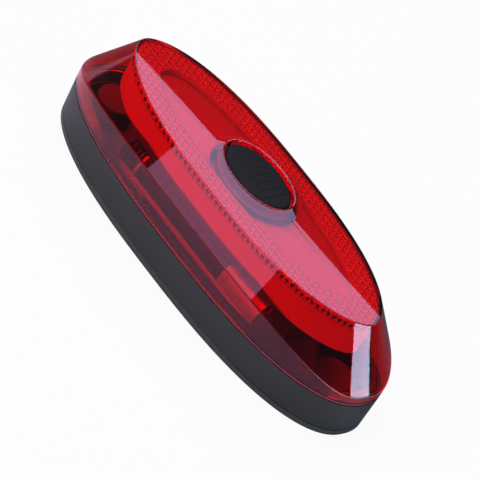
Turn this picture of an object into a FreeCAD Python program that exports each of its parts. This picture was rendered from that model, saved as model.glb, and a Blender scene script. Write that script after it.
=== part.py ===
import FreeCAD, Part
import math
import os

# Bicycle tail light, lying on its back. Millimetres, +Z out through the lens, X along the lamp.
# The origin is the middle of the flat back face.

# Body outline seen from the front, a superellipse; its width follows from the cells inside
BODY_LENGTH = 100.0
BODY_SIDE_ROOM = 5.5
BODY_END_POWER = 2.6
BODY_SIDE_POWER = 2.325
# Flat front face outline, a superellipse set in from the body's ends and sides
FACE_END_INSET = 8.3
FACE_SIDE_INSET = 4.4
FACE_END_POWER = 2.64
FACE_SIDE_POWER = 1.81
OUTLINE_STEPS = 64
# Levels above the back face; the front face's level follows from what lies under it
COVER_RIM_HEIGHT = 1.3
SEAM_GAP = 0.2
JOINT_HEIGHT = 9.3
JOINT_GAP = 0.15
# How far the lens's sloping wall runs outward for each millimetre it drops
WALL_RUN = 0.647
# Base draft, inward from the lens joint down to the back
BASE_DRAFT = 0.43

# Lens
LENS_WALL = 1.2
LENS_FRONT_WALL = 1.2
LENS_FOOT_HEIGHT = 1.3
SPIGOT_DEPTH = 2.7
SPIGOT_WALL = 1.2
SPIGOT_CLEARANCE = 0.15

# Collar round the button
COLLAR_HEIGHT = 1.5
COLLAR_LIP = 0.55
COLLAR_LIP_DROP = 0.15
COLLAR_RIM = 0.1
COLLAR_FOOT_SPREAD = 1.0

# Button
BUTTON_LENGTH = 19.1
BUTTON_WIDTH = 11.6
BUTTON_CLEARANCE = 0.3
BUTTON_EDGE_RISE = 0.15
BUTTON_DOME_RISE = 1.2
BUTTON_FLANGE_SPREAD = 1.95
BUTTON_FLANGE_THICKNESS = 0.9
BUTTON_FLANGE_GAP = 0.3
BUTTON_STEM_RADIUS = 2.0
BUTTON_TRAVEL = 0.8
RIB_COUNT = 7
RIB_PITCH = 1.95
RIB_WIDTH = 0.5
RIB_LENGTH = 6.2
RIB_HEIGHT = 0.2
DOME_STEPS = 5

# Housing ring
HOUSING_WALL = 2.0
LEDGE_REACH = 1.5
LEDGE_THICKNESS = 1.1
GASKET_SEAT = 0.9
GASKET_THICKNESS = 0.75
GASKET_WIDTH = 1.3
GASKET_CLEARANCE = 0.1

# Back cover
COVER_THICKNESS = 2.4
COVER_FIT = 0.1

# Screws that hold the back cover to the housing
COVER_BOSS_CRADLE_GAP = 2.6
COVER_SCREW_SIDE_ROOM = 8.1
COVER_SCREW_RADIUS = 1.1
COVER_SCREW_HEAD_RADIUS = 2.1
COVER_SCREW_HEAD_HEIGHT = 1.1
COVER_SCREW_HEAD_SINK = 0.3
COVER_BOSS_RADIUS = 2.4
SCREW_FIT = 0.02
SCREW_CLEARANCE = 0.25
SCREW_END_GAP = 0.3
CROSS_WIDTH = 0.5
CROSS_DEPTH = 0.6

# Threaded inserts for the carrier, M5, which come to 80 mm centres
INSERT_END_ROOM = 10.0
INSERT_THREAD_RADIUS = 2.1
INSERT_RADIUS = 3.25
INSERT_LENGTH = 6.6
INSERT_FIT = 0.05
INSERT_GROOVE = 0.4
INSERT_BOSS_WALL = 1.3
INSERT_BOSS_ROOF = 0.7
INSERT_END_GAP = 0.6

# Two AAA cells lying side by side
CELL_RADIUS = 5.25
CELL_LENGTH = 44.5
CELL_NUB_RADIUS = 1.9
CELL_NUB_LENGTH = 0.8
CELL_GAP = 0.4
CELL_CLEARANCE = 0.1
CELL_CAP_RECESS = 0.25

# Cradle for the cells
CRADLE_FLOOR = 0.8
CRADLE_WALL = 1.0
CRADLE_WALL_HEIGHT = 6.0
CRADLE_END_WALL = 1.25
CRADLE_END_HEIGHT = 10.0
CRADLE_SIDE_GAP = 0.2
CRADLE_RIB_HEIGHT = 1.0
CRADLE_CORNER = 1.2
ASSEMBLY_GAP = 0.05

# Battery contacts and springs
CONTACT_THICKNESS = 0.4
CONTACT_WIDTH = 7.8
CONTACT_LEAF_WIDTH = 3.0
CONTACT_LEAF_REACH = 3.2
CONTACT_LEAF_Y = 7.0
CONTACT_WALL_GAP = 0.1
SPRING_WIRE_RADIUS = 0.25
SPRING_COIL_RADIUS = 2.6
SPRING_TURNS = 3
SPRING_LENGTH = 4.0
SPRING_QUARTERS = 4
SPRING_SAMPLES = 24

# Lamp module: board, tray, lamps and switch
BOARD_OVER_CELLS = 1.55
BOARD_THICKNESS = 1.0
BOARD_CLEARANCE = 0.3
PAD_SIZE = 3.4
PAD_THICKNESS = 0.15
PAD_GAP = 0.1
TRAY_INSET = 0.65
TRAY_DEPTH = 5.55
TRAY_WALL = 1.0
TRAY_FLOOR_GAP = 0.3
TRAY_FLOOR = 0.9
CUP_WALL = 0.7
CUP_MOUTH_RADIUS = 5.0
CUP_ROOT_RADIUS = 2.4
LAMP_END_ROOM = 12.0
LAMP_PITCH = 12.0
LAMP_RADIUS = 1.5
LAMP_FLANGE_RADIUS = 1.9
LAMP_FLANGE_HEIGHT = 1.0
LAMP_HEIGHT = 3.55
LAMP_HOLE_CLEARANCE = 0.2
SWITCH_SIZE = 6.0
SWITCH_HEIGHT = 2.6
SWITCH_CLEARANCE = 0.4
PLUNGER_RADIUS = 1.7
PLUNGER_FIT = 0.05
PLUNGER_RISE = 1.0
PLUNGER_GUIDE = 0.9
PLUNGER_GAP = 0.05
BOARD_SCREW_END_ROOM = 5.0
BOARD_SCREW_RADIUS = 0.95
BOARD_SCREW_HEAD_RADIUS = 1.8
BOARD_SCREW_HEAD_HEIGHT = 1.0
BOARD_PILLAR_RADIUS = 2.2
BOARD_PILLAR_HEIGHT = 2.4
CHIP_LENGTH = 5.0
CHIP_WIDTH = 4.0
CHIP_HEIGHT = 1.3
RESISTOR_LENGTH = 3.2
RESISTOR_WIDTH = 1.6
RESISTOR_HEIGHT = 0.6
RESISTOR_PITCH = 2.6
RESISTOR_COUNT = 4
PARTS_SETBACK = 5.0

# Diffuser, the pale lid on the tray under the smooth window
DIFFUSER_THICKNESS = 0.8
DIFFUSER_HOLE_GAP = 0.35

# Reflex plate, the prism-backed reflector under the front face
REFLEX_RIM = 1.0
REFLEX_THICKNESS = 1.4
REFLEX_GAP = 0.05
PRISM_EDGE = 1.62
PRISM_DEPTH = 0.6
PRISM_LAND = 0.1
BAND_AT_ENDS = 8.7
BAND_AT_SIDES = 4.8
WINDOW_POWER = 2.2

# Pry slot for a coin, in the housing's top edge at the middle of the far long side
PRY_SLOT_WIDTH = 8.0
PRY_SLOT_DEPTH = 1.2
PRY_SLOT_HEIGHT = 1.2

MARGIN = 1.0

# Stack inside, from the back cover up to the front face
CRADLE_BOTTOM = COVER_THICKNESS + ASSEMBLY_GAP
CELL_Z = CRADLE_BOTTOM + CRADLE_FLOOR + CELL_CLEARANCE + CELL_RADIUS
CELL_Y = CELL_RADIUS + CELL_GAP / 2
BOARD_BOTTOM = CELL_Z + CELL_RADIUS + BOARD_OVER_CELLS
BOARD_TOP = BOARD_BOTTOM + BOARD_THICKNESS
TRAY_FLOOR_BOTTOM = BOARD_TOP + TRAY_FLOOR_GAP
TRAY_FLOOR_TOP = TRAY_FLOOR_BOTTOM + TRAY_FLOOR
TRAY_TOP = BOARD_BOTTOM + TRAY_DEPTH
DIFFUSER_BOTTOM = TRAY_TOP + ASSEMBLY_GAP
DIFFUSER_TOP = DIFFUSER_BOTTOM + DIFFUSER_THICKNESS
REFLEX_BOTTOM = DIFFUSER_TOP + REFLEX_GAP
REFLEX_TOP = REFLEX_BOTTOM + REFLEX_THICKNESS
LENS_INSIDE_TOP = REFLEX_TOP + REFLEX_GAP
FRONT_HEIGHT = LENS_INSIDE_TOP + LENS_FRONT_WALL
SWITCH_TOP = BOARD_TOP + SWITCH_HEIGHT
PLUNGER_TOP = SWITCH_TOP + PLUNGER_RISE
FLANGE_TOP = LENS_INSIDE_TOP - BUTTON_FLANGE_GAP
FLANGE_BOTTOM = FLANGE_TOP - BUTTON_FLANGE_THICKNESS
PAD_BOTTOM = BOARD_BOTTOM - PAD_THICKNESS
LEAF_TOP = PAD_BOTTOM - PAD_GAP
HOUSING_BOTTOM = COVER_RIM_HEIGHT + SEAM_GAP
HOUSING_TOP = JOINT_HEIGHT - JOINT_GAP
LEDGE_TOP = JOINT_HEIGHT - SPIGOT_DEPTH - GASKET_SEAT
LEDGE_BOTTOM = LEDGE_TOP - LEDGE_THICKNESS

# Widths and lengths inside and out
BAY_HALF = (CELL_LENGTH + SPRING_LENGTH) / 2
CRADLE_HALF_LENGTH = BAY_HALF + CONTACT_THICKNESS + CONTACT_WALL_GAP + CRADLE_END_WALL
CRADLE_HALF_WIDTH = CELL_Y + CELL_RADIUS + CRADLE_SIDE_GAP + CRADLE_WALL
LENS_WALL_INSET = LENS_WALL * math.hypot(1, WALL_RUN)
SPIGOT_OUTSET = -(HOUSING_WALL + SPIGOT_CLEARANCE)
SPIGOT_INSET = SPIGOT_OUTSET - SPIGOT_WALL
BODY_HALF_X = BODY_LENGTH / 2
BODY_HALF_Y = CRADLE_HALF_WIDTH + BODY_SIDE_ROOM
FACE_HALF_X = BODY_HALF_X - FACE_END_INSET
FACE_HALF_Y = BODY_HALF_Y - FACE_SIDE_INSET
INSERT_X = BODY_HALF_X - INSERT_END_ROOM
COVER_SCREW_X = CRADLE_HALF_LENGTH + COVER_BOSS_CRADLE_GAP + COVER_BOSS_RADIUS
COVER_SCREW_Y = BODY_HALF_Y - COVER_SCREW_SIDE_ROOM
TRAY_HALF_X = FACE_HALF_X - TRAY_INSET
LAMP_OUTER_X = TRAY_HALF_X - LAMP_END_ROOM
LAMP_INNER_X = LAMP_OUTER_X - LAMP_PITCH
BOARD_SCREW_X = TRAY_HALF_X - BOARD_SCREW_END_ROOM
PARTS_X = BOARD_SCREW_X - PARTS_SETBACK

BODY = (BODY_HALF_X, BODY_HALF_Y, BODY_END_POWER, BODY_SIDE_POWER)
FACE = (FACE_HALF_X, FACE_HALF_Y, FACE_END_POWER, FACE_SIDE_POWER)
WINDOW = (FACE_HALF_X - BAND_AT_ENDS, FACE_HALF_Y - BAND_AT_SIDES, WINDOW_POWER, WINDOW_POWER)


def vec(x, y, z):
    return FreeCAD.Vector(x, y, z)


def signed_power(value, power):
    return math.copysign(abs(value) ** power, value)


def oval_point(outline, grow, turn):
    """Point of a superellipse, moved outward along its normal by grow."""
    half_x, half_y, end_power, side_power = outline
    x = half_x * signed_power(math.cos(turn), 2 / end_power)
    y = half_y * signed_power(math.sin(turn), 2 / side_power)
    normal_x = signed_power(x / half_x, end_power - 1) * end_power / half_x
    normal_y = signed_power(y / half_y, side_power - 1) * side_power / half_y
    size = math.hypot(normal_x, normal_y)
    return x + grow * normal_x / size, y + grow * normal_y / size


def oval_wire(outline, grow, z):
    points = []
    for step in range(OUTLINE_STEPS):
        x, y = oval_point(outline, grow, 2 * math.pi * step / OUTLINE_STEPS)
        points.append(vec(x, y, z))
    curve = Part.BSplineCurve()
    curve.interpolate(Points=points, PeriodicFlag=True)
    return Part.Wire([curve.toShape()])


def oval_prism(outline, grow, bottom, top):
    return Part.Face(oval_wire(outline, grow, bottom)).extrude(vec(0, 0, top - bottom))


def oval_taper(outline, low_grow, bottom, high_grow, top):
    low = oval_wire(outline, low_grow, bottom)
    high = oval_wire(outline, high_grow, top)
    return Part.makeLoft([low, high], True, True)


def ellipse_wire(length, width, z):
    return Part.Wire([Part.Ellipse(vec(0, 0, z), length / 2, width / 2).toShape()])


def ellipse_taper(low_size, bottom, high_size, top):
    return Part.makeLoft([ellipse_wire(*low_size, bottom), ellipse_wire(*high_size, top)], True, True)


def box(low, high):
    size = [high[i] - low[i] for i in range(3)]
    return Part.makeBox(*size, vec(*low))


def rod(radius, x, y, bottom, top):
    return Part.makeCylinder(radius, top - bottom, vec(x, y, bottom))


def fuse_all(shapes):
    joined = shapes[0]
    for shape in shapes[1:]:
        joined = joined.fuse(shape)
    return joined.removeSplitter()


def grown(size, by):
    return (size[0] + 2 * by, size[1] + 2 * by)


def base_grow(z):
    """Inward draft of the black base at a level."""
    return -BASE_DRAFT * (1 - z / JOINT_HEIGHT)


def four_corners(x, y):
    return [(sx * x, sy * y) for sx in (-1, 1) for sy in (-1, 1)]


def cross_recess(x, y, z_low, z_high, reach):
    """Cutter for a cross recess in a screw head."""
    half = CROSS_WIDTH / 2
    along = box((x - reach, y - half, z_low), (x + reach, y + half, z_high))
    across = box((x - half, y - reach, z_low), (x + half, y + reach, z_high))
    return along.fuse(across)


def make_back_cover():
    rim = oval_taper(BODY, base_grow(0), 0, base_grow(COVER_RIM_HEIGHT), COVER_RIM_HEIGHT)
    plug = oval_prism(BODY, -HOUSING_WALL - COVER_FIT, COVER_RIM_HEIGHT - SEAM_GAP, COVER_THICKNESS)
    pieces = [rim, plug]
    boss_radius = INSERT_RADIUS + INSERT_FIT + INSERT_BOSS_WALL
    boss_top = INSERT_LENGTH + INSERT_END_GAP + INSERT_BOSS_ROOF
    for side in (-1, 1):
        x = side * INSERT_X
        pieces.append(rod(boss_radius, x, 0, SEAM_GAP, boss_top))
    cover = fuse_all(pieces)
    for side in (-1, 1):
        x = side * INSERT_X
        cover = cover.cut(rod(INSERT_RADIUS + INSERT_FIT, x, 0, -MARGIN, INSERT_LENGTH + INSERT_END_GAP))
    head_top = COVER_SCREW_HEAD_SINK + COVER_SCREW_HEAD_HEIGHT
    for x, y in four_corners(COVER_SCREW_X, COVER_SCREW_Y):
        cover = cover.cut(rod(COVER_SCREW_HEAD_RADIUS + SCREW_CLEARANCE, x, y, -MARGIN, head_top))
        cover = cover.cut(rod(COVER_SCREW_RADIUS + SCREW_CLEARANCE, x, y, 0, COVER_THICKNESS + MARGIN))
    return cover


def make_housing():
    outer = oval_taper(BODY, base_grow(HOUSING_BOTTOM), HOUSING_BOTTOM, base_grow(HOUSING_TOP), HOUSING_TOP)
    ring = outer.cut(oval_prism(BODY, -HOUSING_WALL - LEDGE_REACH, 0, FRONT_HEIGHT))
    ring = ring.cut(oval_prism(BODY, -HOUSING_WALL, 0, LEDGE_BOTTOM))
    ring = ring.cut(oval_prism(BODY, -HOUSING_WALL, LEDGE_TOP, FRONT_HEIGHT))
    boss_bottom = COVER_THICKNESS + ASSEMBLY_GAP
    bosses = []
    for x, y in four_corners(COVER_SCREW_X, COVER_SCREW_Y):
        bosses.append(rod(COVER_BOSS_RADIUS, x, y, boss_bottom, LEDGE_TOP))
        reach_x = x + COVER_BOSS_RADIUS * math.copysign(1, x)
        reach_y = y + 2 * COVER_BOSS_RADIUS * math.copysign(1, y)
        low = (min(x, reach_x), min(y, reach_y), boss_bottom)
        high = (max(x, reach_x), max(y, reach_y), LEDGE_TOP)
        bosses.append(box(low, high).common(oval_prism(BODY, -HOUSING_WALL / 2, 0, FRONT_HEIGHT)))
    ring = fuse_all([ring] + bosses)
    for x, y in four_corners(COVER_SCREW_X, COVER_SCREW_Y):
        ring = ring.cut(rod(COVER_SCREW_RADIUS + SCREW_FIT, x, y, 0, LEDGE_TOP - SCREW_END_GAP))
    slot_low = (-PRY_SLOT_WIDTH / 2, BODY_HALF_Y - PRY_SLOT_DEPTH, HOUSING_TOP - PRY_SLOT_HEIGHT)
    slot_high = (PRY_SLOT_WIDTH / 2, BODY_HALF_Y + MARGIN, FRONT_HEIGHT)
    return ring.cut(box(slot_low, slot_high))


def make_cover_screws():
    screws = []
    head_top = COVER_SCREW_HEAD_SINK + COVER_SCREW_HEAD_HEIGHT - ASSEMBLY_GAP
    tip = LEDGE_TOP - 2 * SCREW_END_GAP
    for x, y in four_corners(COVER_SCREW_X, COVER_SCREW_Y):
        head = rod(COVER_SCREW_HEAD_RADIUS, x, y, COVER_SCREW_HEAD_SINK, head_top)
        screw = fuse_all([head, rod(COVER_SCREW_RADIUS, x, y, head_top - SEAM_GAP, tip)])
        recess_top = COVER_SCREW_HEAD_SINK + CROSS_DEPTH
        reach = COVER_SCREW_HEAD_RADIUS - CROSS_DEPTH
        screws.append(screw.cut(cross_recess(x, y, 0, recess_top, reach)))
    return Part.makeCompound(screws)


def make_mount_inserts():
    inserts = []
    bottom = ASSEMBLY_GAP
    top = INSERT_LENGTH - ASSEMBLY_GAP
    middle = (bottom + top) / 2
    for side in (-1, 1):
        x = side * INSERT_X
        body = rod(INSERT_RADIUS, x, 0, bottom, top)
        groove = rod(INSERT_RADIUS + MARGIN, x, 0, middle - INSERT_GROOVE, middle + INSERT_GROOVE)
        groove = groove.cut(rod(INSERT_RADIUS - INSERT_GROOVE, x, 0, 0, INSERT_LENGTH))
        inserts.append(body.cut(groove).cut(rod(INSERT_THREAD_RADIUS, x, 0, -MARGIN, INSERT_LENGTH)))
    return Part.makeCompound(inserts)


def make_gasket():
    outer = -HOUSING_WALL - GASKET_CLEARANCE
    bottom = LEDGE_TOP + ASSEMBLY_GAP
    top = bottom + GASKET_THICKNESS
    inside = oval_prism(BODY, outer - GASKET_WIDTH, bottom - MARGIN, top + MARGIN)
    return oval_prism(BODY, outer, bottom, top).cut(inside)


def is_outer_corner(edge, half_x, half_y):
    """True for an upright edge at one of a block's four outer corners."""
    ends = [vertex.Point for vertex in edge.Vertexes]
    return all(abs(abs(end.x) - half_x) < 0.01 and abs(abs(end.y) - half_y) < 0.01 for end in ends)


def make_battery_cradle():
    half_x = CRADLE_HALF_LENGTH
    inner_x = half_x - CRADLE_END_WALL
    inner_y = CELL_Y + CELL_RADIUS + CRADLE_SIDE_GAP
    half_y = CRADLE_HALF_WIDTH
    floor_top = CRADLE_BOTTOM + CRADLE_FLOOR
    block = box((-half_x, -half_y, CRADLE_BOTTOM), (half_x, half_y, CRADLE_BOTTOM + CRADLE_END_HEIGHT))
    block = block.cut(box((-inner_x, -inner_y, floor_top), (inner_x, inner_y, FRONT_HEIGHT)))
    side_top = CRADLE_BOTTOM + CRADLE_WALL_HEIGHT
    block = block.cut(box((-inner_x, -BODY_HALF_Y, side_top), (inner_x, BODY_HALF_Y, FRONT_HEIGHT)))
    uprights = [edge for edge in block.Edges if is_outer_corner(edge, half_x, half_y)]
    block = block.makeChamfer(CRADLE_CORNER, uprights)
    rib_low = (-BAY_HALF, -CELL_GAP, floor_top - ASSEMBLY_GAP)
    rib_high = (BAY_HALF, CELL_GAP, floor_top + CRADLE_RIB_HEIGHT)
    rib = box(rib_low, rib_high)
    return fuse_all([block, rib])


def make_cell(side):
    """One AAA cell; side is +1 when its positive nub points along +X."""
    shift = SPRING_LENGTH / 2 * side
    can_low = -CELL_LENGTH / 2
    can_high = CELL_LENGTH / 2 - CELL_NUB_LENGTH
    can = Part.makeCylinder(CELL_RADIUS, can_high - can_low, vec(can_low, 0, 0), vec(1, 0, 0))
    ring = Part.makeCylinder(CELL_RADIUS - CELL_CAP_RECESS * 3, CELL_CAP_RECESS,
                             vec(can_high - CELL_CAP_RECESS, 0, 0), vec(1, 0, 0))
    nub = Part.makeCylinder(CELL_NUB_RADIUS, CELL_NUB_LENGTH + 2 * CELL_CAP_RECESS,
                            vec(can_high - 2 * CELL_CAP_RECESS, 0, 0), vec(1, 0, 0))
    cell = can.cut(ring).fuse(nub)
    if side < 0:
        cell.rotate(vec(0, 0, 0), vec(0, 0, 1), 180)
    cell.translate(vec(shift, -side * CELL_Y, CELL_Z))
    return cell


def make_plate(side, y_low, y_high):
    """Upright contact plate at one end of the bay."""
    inner = side * (BAY_HALF + ASSEMBLY_GAP)
    outer = side * (BAY_HALF + CONTACT_THICKNESS)
    bottom = CRADLE_BOTTOM + CRADLE_FLOOR + CELL_CLEARANCE
    top = CRADLE_BOTTOM + CRADLE_END_HEIGHT
    return box((min(inner, outer), y_low, bottom), (max(inner, outer), y_high, top))


def make_bridge_contact():
    half = CELL_Y + CONTACT_WIDTH / 2
    return make_plate(-1, -half, half)


def make_leaf_contact(side):
    """Contact at the right end, with a leaf that rises to the board's pad; side is the sign of Y."""
    middle = side * CELL_Y
    plate = make_plate(1, middle - CONTACT_WIDTH / 2, middle + CONTACT_WIDTH / 2)
    leaf_low = side * CONTACT_LEAF_Y - CONTACT_LEAF_WIDTH / 2
    leaf_high = leaf_low + CONTACT_LEAF_WIDTH
    inner = BAY_HALF + ASSEMBLY_GAP
    outer = BAY_HALF + CONTACT_THICKNESS
    upright = box((inner, leaf_low, CELL_Z), (outer, leaf_high, LEAF_TOP))
    finger_low = (outer - CONTACT_LEAF_REACH, leaf_low, LEAF_TOP - CONTACT_THICKNESS)
    finger = box(finger_low, (outer, leaf_high, LEAF_TOP))
    return fuse_all([plate, upright, finger])


def biarc(start, start_way, end, end_way):
    """Two arcs, tangent to each other, from start to end with the given unit directions."""
    chord = end - start
    ways = start_way + end_way
    spread = 2 * (1 - start_way.dot(end_way))
    lean = chord.dot(ways)
    leg = (-lean + math.sqrt(lean * lean + spread * chord.dot(chord))) / spread
    first_corner = start + start_way * leg
    second_corner = end - end_way * leg
    joint = (first_corner + second_corner) * 0.5
    return [corner_arc(start, first_corner, joint), corner_arc(joint, second_corner, end)]


def corner_arc(start, corner, end):
    """The arc that touches both legs of a corner whose legs are equal."""
    middle = (start + end) * 0.5
    half_chord = (end - start).Length / 2
    rise = (corner - middle).Length
    leg = math.hypot(half_chord, rise)
    sagitta = half_chord * (leg - half_chord) / rise
    crest = middle + (corner - middle) * (sagitta / rise)
    return Part.Arc(start, crest, end).toShape()


def spring_centre(turn, span):
    """Centre line of a spring along +X, with its direction, at a number of turns."""
    angle = 2 * math.pi * turn
    place = vec(span * turn / SPRING_TURNS, SPRING_COIL_RADIUS * math.cos(angle),
                SPRING_COIL_RADIUS * math.sin(angle))
    way = vec(span / SPRING_TURNS / (2 * math.pi), -SPRING_COIL_RADIUS * math.sin(angle),
              SPRING_COIL_RADIUS * math.cos(angle))
    return place, way.normalize()


def spring_least_gap(span):
    """Least gap between a spring's turns, measured on points along its centre line."""
    steps = SPRING_TURNS * SPRING_SAMPLES
    points = [spring_centre(step / SPRING_SAMPLES, span)[0] for step in range(steps + 1)]
    gaps = []
    for first in range(steps + 1):
        for second in range(first + SPRING_SAMPLES // 2, steps + 1):
            gaps.append((points[second] - points[first]).Length - 2 * SPRING_WIRE_RADIUS)
    return min(gaps)


def make_spring(side):
    """Coil spring behind a cell's flat end; side matches its cell."""
    span = SPRING_LENGTH - 2 * SPRING_WIRE_RADIUS - 3 * ASSEMBLY_GAP
    arcs = []
    steps = SPRING_TURNS * SPRING_QUARTERS
    for step in range(steps):
        start, start_way = spring_centre(step / SPRING_QUARTERS, span)
        end, end_way = spring_centre((step + 1) / SPRING_QUARTERS, span)
        arcs += biarc(start, start_way, end, end_way)
    path = Part.Wire(arcs)
    start, start_way = spring_centre(0, span)
    section = Part.Wire([Part.Circle(start, start_way, SPRING_WIRE_RADIUS).toShape()])
    spring = path.makePipeShell([section], True, False)
    print("spring least gap to itself", round(spring_least_gap(span), 2))
    if side < 0:
        spring.rotate(vec(0, 0, 0), vec(0, 0, 1), 180)
    low = -BAY_HALF + 2 * ASSEMBLY_GAP + SPRING_WIRE_RADIUS
    spring.translate(vec(side * low, -side * CELL_Y, CELL_Z))
    return spring


def lens_solid(inset, wall_inset, bottom, top):
    """Vertical band below, sloping wall above: the band's prism cut by the slope."""
    band = oval_prism(BODY, -inset, bottom, top)
    low_grow = WALL_RUN * (FRONT_HEIGHT - bottom) - wall_inset
    high_grow = WALL_RUN * (FRONT_HEIGHT - top) - wall_inset
    return band.common(oval_taper(FACE, low_grow, bottom, high_grow, top))


def make_lens():
    foot_top = JOINT_HEIGHT + LENS_FOOT_HEIGHT
    spigot_bottom = JOINT_HEIGHT - SPIGOT_DEPTH
    shell = lens_solid(0, 0, JOINT_HEIGHT, FRONT_HEIGHT)
    shell = shell.cut(lens_solid(LENS_WALL, LENS_WALL_INSET, foot_top, LENS_INSIDE_TOP))
    spigot = oval_prism(BODY, SPIGOT_OUTSET, spigot_bottom, JOINT_HEIGHT + LENS_FOOT_HEIGHT / 2)
    hole = (BUTTON_LENGTH + 2 * BUTTON_CLEARANCE, BUTTON_WIDTH + 2 * BUTTON_CLEARANCE)
    crown = grown(hole, COLLAR_LIP + COLLAR_RIM)
    foot = grown(crown, COLLAR_FOOT_SPREAD)
    collar_top = FRONT_HEIGHT + COLLAR_HEIGHT
    lip_low = collar_top - COLLAR_LIP_DROP
    collar = ellipse_taper(foot, FRONT_HEIGHT - LENS_FRONT_WALL / 2, crown, collar_top)
    shell = shell.fuse(spigot).fuse(collar)
    shell = shell.cut(oval_prism(BODY, SPIGOT_INSET, spigot_bottom - MARGIN, foot_top))
    shell = shell.cut(ellipse_taper(hole, LENS_INSIDE_TOP - MARGIN, hole, collar_top + MARGIN))
    lip_cut_top = lip_low + 2 * COLLAR_LIP_DROP
    shell = shell.cut(ellipse_taper(hole, lip_low, grown(hole, 2 * COLLAR_LIP), lip_cut_top))
    return shell.removeSplitter()


def prism_groove(low, high):
    """Cutter for the V groove along X between two row lines, a narrow land left at each."""
    left = -BODY_HALF_X
    near = low + PRISM_LAND / 2
    far = high - PRISM_LAND / 2
    above = REFLEX_TOP + MARGIN
    corners = [vec(left, near, REFLEX_TOP), vec(left, (near + far) / 2, REFLEX_TOP - PRISM_DEPTH)]
    corners += [vec(left, far, REFLEX_TOP), vec(left, far, above), vec(left, near, above)]
    section = Part.Face(Part.makePolygon(corners + corners[:1]))
    return section.extrude(vec(BODY_LENGTH, 0, 0))


def make_reflex_plate():
    plate = oval_prism(FACE, -REFLEX_RIM, REFLEX_BOTTOM, REFLEX_TOP)
    plate = plate.cut(oval_prism(WINDOW, 0, REFLEX_BOTTOM - MARGIN, REFLEX_TOP + MARGIN))
    row_height = PRISM_EDGE * math.sqrt(3) / 2
    rows = math.ceil(FACE_HALF_Y / row_height)
    for row in range(-rows, rows):
        plate = plate.cut(prism_groove(row * row_height, (row + 1) * row_height))
    return plate


def make_diffuser():
    lid = oval_prism(FACE, -TRAY_INSET, DIFFUSER_BOTTOM, DIFFUSER_TOP)
    flange_size = grown((BUTTON_LENGTH, BUTTON_WIDTH), BUTTON_FLANGE_SPREAD)
    hole = grown(flange_size, DIFFUSER_HOLE_GAP)
    return lid.cut(ellipse_taper(hole, DIFFUSER_BOTTOM - MARGIN, hole, DIFFUSER_TOP + MARGIN))


def lamp_places():
    return [-LAMP_OUTER_X, -LAMP_INNER_X, LAMP_INNER_X, LAMP_OUTER_X]


def make_led_tray():
    tray = oval_prism(FACE, -TRAY_INSET, BOARD_BOTTOM, TRAY_TOP)
    tray = tray.cut(oval_prism(FACE, -TRAY_INSET - TRAY_WALL, TRAY_FLOOR_TOP, TRAY_TOP + MARGIN))
    tray = tray.cut(oval_prism(FACE, -TRAY_INSET - TRAY_WALL, BOARD_BOTTOM - MARGIN, TRAY_FLOOR_BOTTOM))
    cup_height = TRAY_TOP - TRAY_FLOOR_TOP
    solids = [tray]
    cutters = []
    for x in lamp_places():
        foot = vec(x, 0, TRAY_FLOOR_TOP)
        cup_outside = (CUP_ROOT_RADIUS + CUP_WALL, CUP_MOUTH_RADIUS + CUP_WALL)
        solids.append(Part.makeCone(*cup_outside, cup_height, foot))
        cutters.append(Part.makeCone(CUP_ROOT_RADIUS, CUP_MOUTH_RADIUS, cup_height, foot))
        hole_radius = LAMP_FLANGE_RADIUS + LAMP_HOLE_CLEARANCE
        cutters.append(rod(hole_radius, x, 0, BOARD_BOTTOM, TRAY_FLOOR_TOP + MARGIN))
    for side in (-1, 1):
        x = side * BOARD_SCREW_X
        pillar_top = TRAY_FLOOR_BOTTOM + BOARD_PILLAR_HEIGHT
        solids.append(rod(BOARD_PILLAR_RADIUS, x, 0, TRAY_FLOOR_BOTTOM, pillar_top))
        pilot_top = pillar_top - SCREW_END_GAP
        cutters.append(rod(BOARD_SCREW_RADIUS + SCREW_FIT, x, 0, BOARD_BOTTOM, pilot_top))
    half = SWITCH_SIZE / 2 + SWITCH_CLEARANCE
    cutters.append(box((-half, -half, BOARD_BOTTOM), (half, half, TRAY_TOP)))
    tray = fuse_all(solids)
    for cutter in cutters:
        tray = tray.cut(cutter)
    return tray


def make_led_board():
    board = oval_prism(FACE, -TRAY_INSET - TRAY_WALL - BOARD_CLEARANCE, BOARD_BOTTOM, BOARD_TOP)
    for side in (-1, 1):
        radius = BOARD_SCREW_RADIUS + SCREW_CLEARANCE
        board = board.cut(rod(radius, side * BOARD_SCREW_X, 0, BOARD_BOTTOM - MARGIN, BOARD_TOP + MARGIN))
    return board


def make_lamp(x):
    """Three millimetre light-emitting diode with a domed tip."""
    bottom = BOARD_TOP + ASSEMBLY_GAP
    dome_z = BOARD_TOP + LAMP_HEIGHT - LAMP_RADIUS
    flange = rod(LAMP_FLANGE_RADIUS, x, 0, bottom, bottom + LAMP_FLANGE_HEIGHT)
    barrel = rod(LAMP_RADIUS, x, 0, bottom, dome_z)
    dome = Part.makeSphere(LAMP_RADIUS, vec(x, 0, dome_z))
    return fuse_all([flange, barrel, dome])


def make_switch_body():
    half = SWITCH_SIZE / 2
    body = box((-half, -half, BOARD_TOP + ASSEMBLY_GAP), (half, half, SWITCH_TOP))
    well = SWITCH_TOP - PLUNGER_GUIDE - BUTTON_TRAVEL - ASSEMBLY_GAP
    return body.cut(rod(PLUNGER_RADIUS + PLUNGER_FIT, 0, 0, well, SWITCH_TOP + MARGIN))


def make_switch_plunger():
    return rod(PLUNGER_RADIUS, 0, 0, SWITCH_TOP - PLUNGER_GUIDE, PLUNGER_TOP)


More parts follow.
